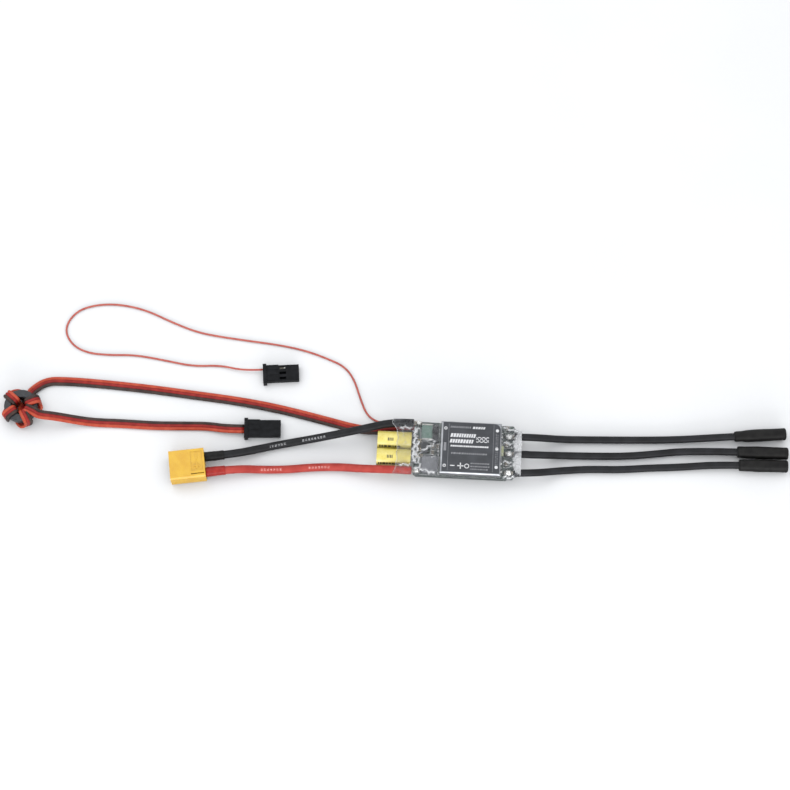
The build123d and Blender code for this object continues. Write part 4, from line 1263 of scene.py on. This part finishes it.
def film():
    """The clear skin, open over the plate and at both ends, creased where it is slack, with a
    painted highlight stored along its creases, cut edges and the webs between the motor leads.
    """
    stations, rays, axis, skin, slack = shrunk_film()
    x = np.repeat(stations[:, None], film_steps, axis=1)
    y = skin * rays[None, :, 0]
    z = skin * rays[None, :, 1] + axis[:, None]
    x = np.minimum(x - left_edge_pull(x, y), film_reach_right)
    upper = smooth_step((z - axis[:, None] - 0.5 * MM) / (1.5 * MM))
    painted_highlight, lift = np.zeros_like(x), np.zeros_like(x)
    loose = 0.35 + 0.65 * smooth_step(slack / (0.5 * MM))
    for start, end, half_width, height in film_creases + small_creases():
        part = upper * ridge_height(x / MM, y / MM, start, end, half_width)
        # painted highlight: how pale and milky the film is drawn along this crease
        highlight_strength = min(1.0, height / 0.4 + 0.15)
        painted_highlight = np.maximum(painted_highlight, part * highlight_strength)
        lift += part * height * MM * loose
    points = np.stack([x, y + lift * rays[None, :, 0] * 0.4, z + lift * upper], axis=2)
    points = points.reshape(-1, 3)
    # painted highlight at the film's cut edges and on the slack webs between the motor leads
    edge_highlight = 0.55
    web_highlight = smooth_step((x - 28.6 * MM) / (1.0 * MM)) * smooth_step(slack / (0.6 * MM))
    painted_highlight = np.clip(np.maximum(painted_highlight, web_highlight * edge_highlight), 0, 1)
    mesh = mesh_of("film", points, film_faces(points))
    values = mesh.attributes.new("painted_highlight", "FLOAT", "POINT")
    values.data.foreach_set("value", painted_highlight.reshape(-1).astype(np.float32))
    bm = bmesh.new()
    bm.from_mesh(mesh)
    layer = bm.verts.layers.float["painted_highlight"]
    # painted highlight along the film's cut edges
    for vertex in bm.verts:
        if vertex.is_boundary:
            vertex[layer] = max(vertex[layer], edge_highlight)
    bmesh.ops.delete(bm, geom=[v for v in bm.verts if not v.link_faces], context="VERTS")
    bmesh.ops.recalc_face_normals(bm, faces=bm.faces)
    bm.to_mesh(mesh)
    bm.free()
    piece = add_piece("film_skin", mesh, ["clear_film"], stands_for=["shrink_film"])
    wall = piece.modifiers.new("wall", "SOLIDIFY")
    wall.thickness = 0.1 * MM
    wall.offset = -1


def dress_all():
    """Gives every CAD node that stays in view its material."""
    for look, nodes in {
        "bare_aluminium": ["heatsink_plate"],
        "thermal_pad": ["thermal_pad"],
        "circuit_board": ["main_board", "control_board"],
        "plated_pins": ["board_pins", "fuse_terminals", "inductor_terminals"],
        "black_nylon": ["board_pin_spacers", "receiver_plug", "telemetry_plug"],
        "chip_plastic": ["power_transistors", "regulator_chip", "rectifier_diodes",
                         "microcontroller", "gate_drivers"],
        "can_aluminium": ["capacitor_rear_can", "capacitor_front_can"],
        "gold_sleeve": ["capacitor_rear_sleeve", "capacitor_front_sleeve"],
        "rubber_bung": ["capacitor_bungs"],
        "tinned_copper": ["capacitor_leads"],
        "solder": ["capacitor_solder"],
        "fuse_green": ["fuse_body"],
        "inductor_grey": ["inductor_body"],
        "ceramic_tan": ["ceramic_capacitors", "resonator", "control_chip_parts"],
        "resistor_black": ["chip_resistors"],
        "yellow_nylon": ["battery_plug_shell"],
        "gold_plate": ["battery_pin_negative", "battery_pin_positive", "motor_socket_a",
                       "motor_socket_b", "motor_socket_c"],
        # contacts darkened as painted shade in the plug windows
        "contact_metal_painted_shade": ["receiver_contacts", "telemetry_contact"],
        "ferrite": ["ferrite_ring"],
    }.items():
        dress(look, *nodes)


def table_top():
    reach = 1.5
    corners = [(-reach, -reach, 0), (reach, -reach, 0), (reach, reach, 0), (-reach, reach, 0)]
    mesh = mesh_of("table", corners, [(0, 1, 2, 3)], smooth=False)
    table = bpy.data.objects.new("table", mesh)
    bpy.context.scene.collection.objects.link(table)
    look = mottled("table_paper", (250, 250, 251), (253, 253, 254), 60.0, (0.8, 0.9), 2.0, 0.01)
    mesh.materials.append(look.material)


# ==== the scene ===========================================================================
bpy.context.scene.view_settings.view_transform = "Standard"
add_camera()
add_room_light(1.9)
add_soft_light("key", (-0.35, 0.3, 0.75), (0.7, 0.5), 2.6)
add_soft_light("front", (0.1, -0.75, 0.22), (0.9, 0.3), 6.0)
table_top()
dress_all()
battery_leads()
motor_leads()
telemetry_lead()
receiver_ribbon()
label_marks()
capacitor_marks()
chip_ends()
board_print()
bare_strands()
solder_mound("battery_solder_mounds", "battery_solder_joints", 2.2 * MM, (1.35, 1.5))
solder_mound("motor_solder_mounds", "motor_solder_joints", 2.1 * MM, (1.25, 0.9))
film()
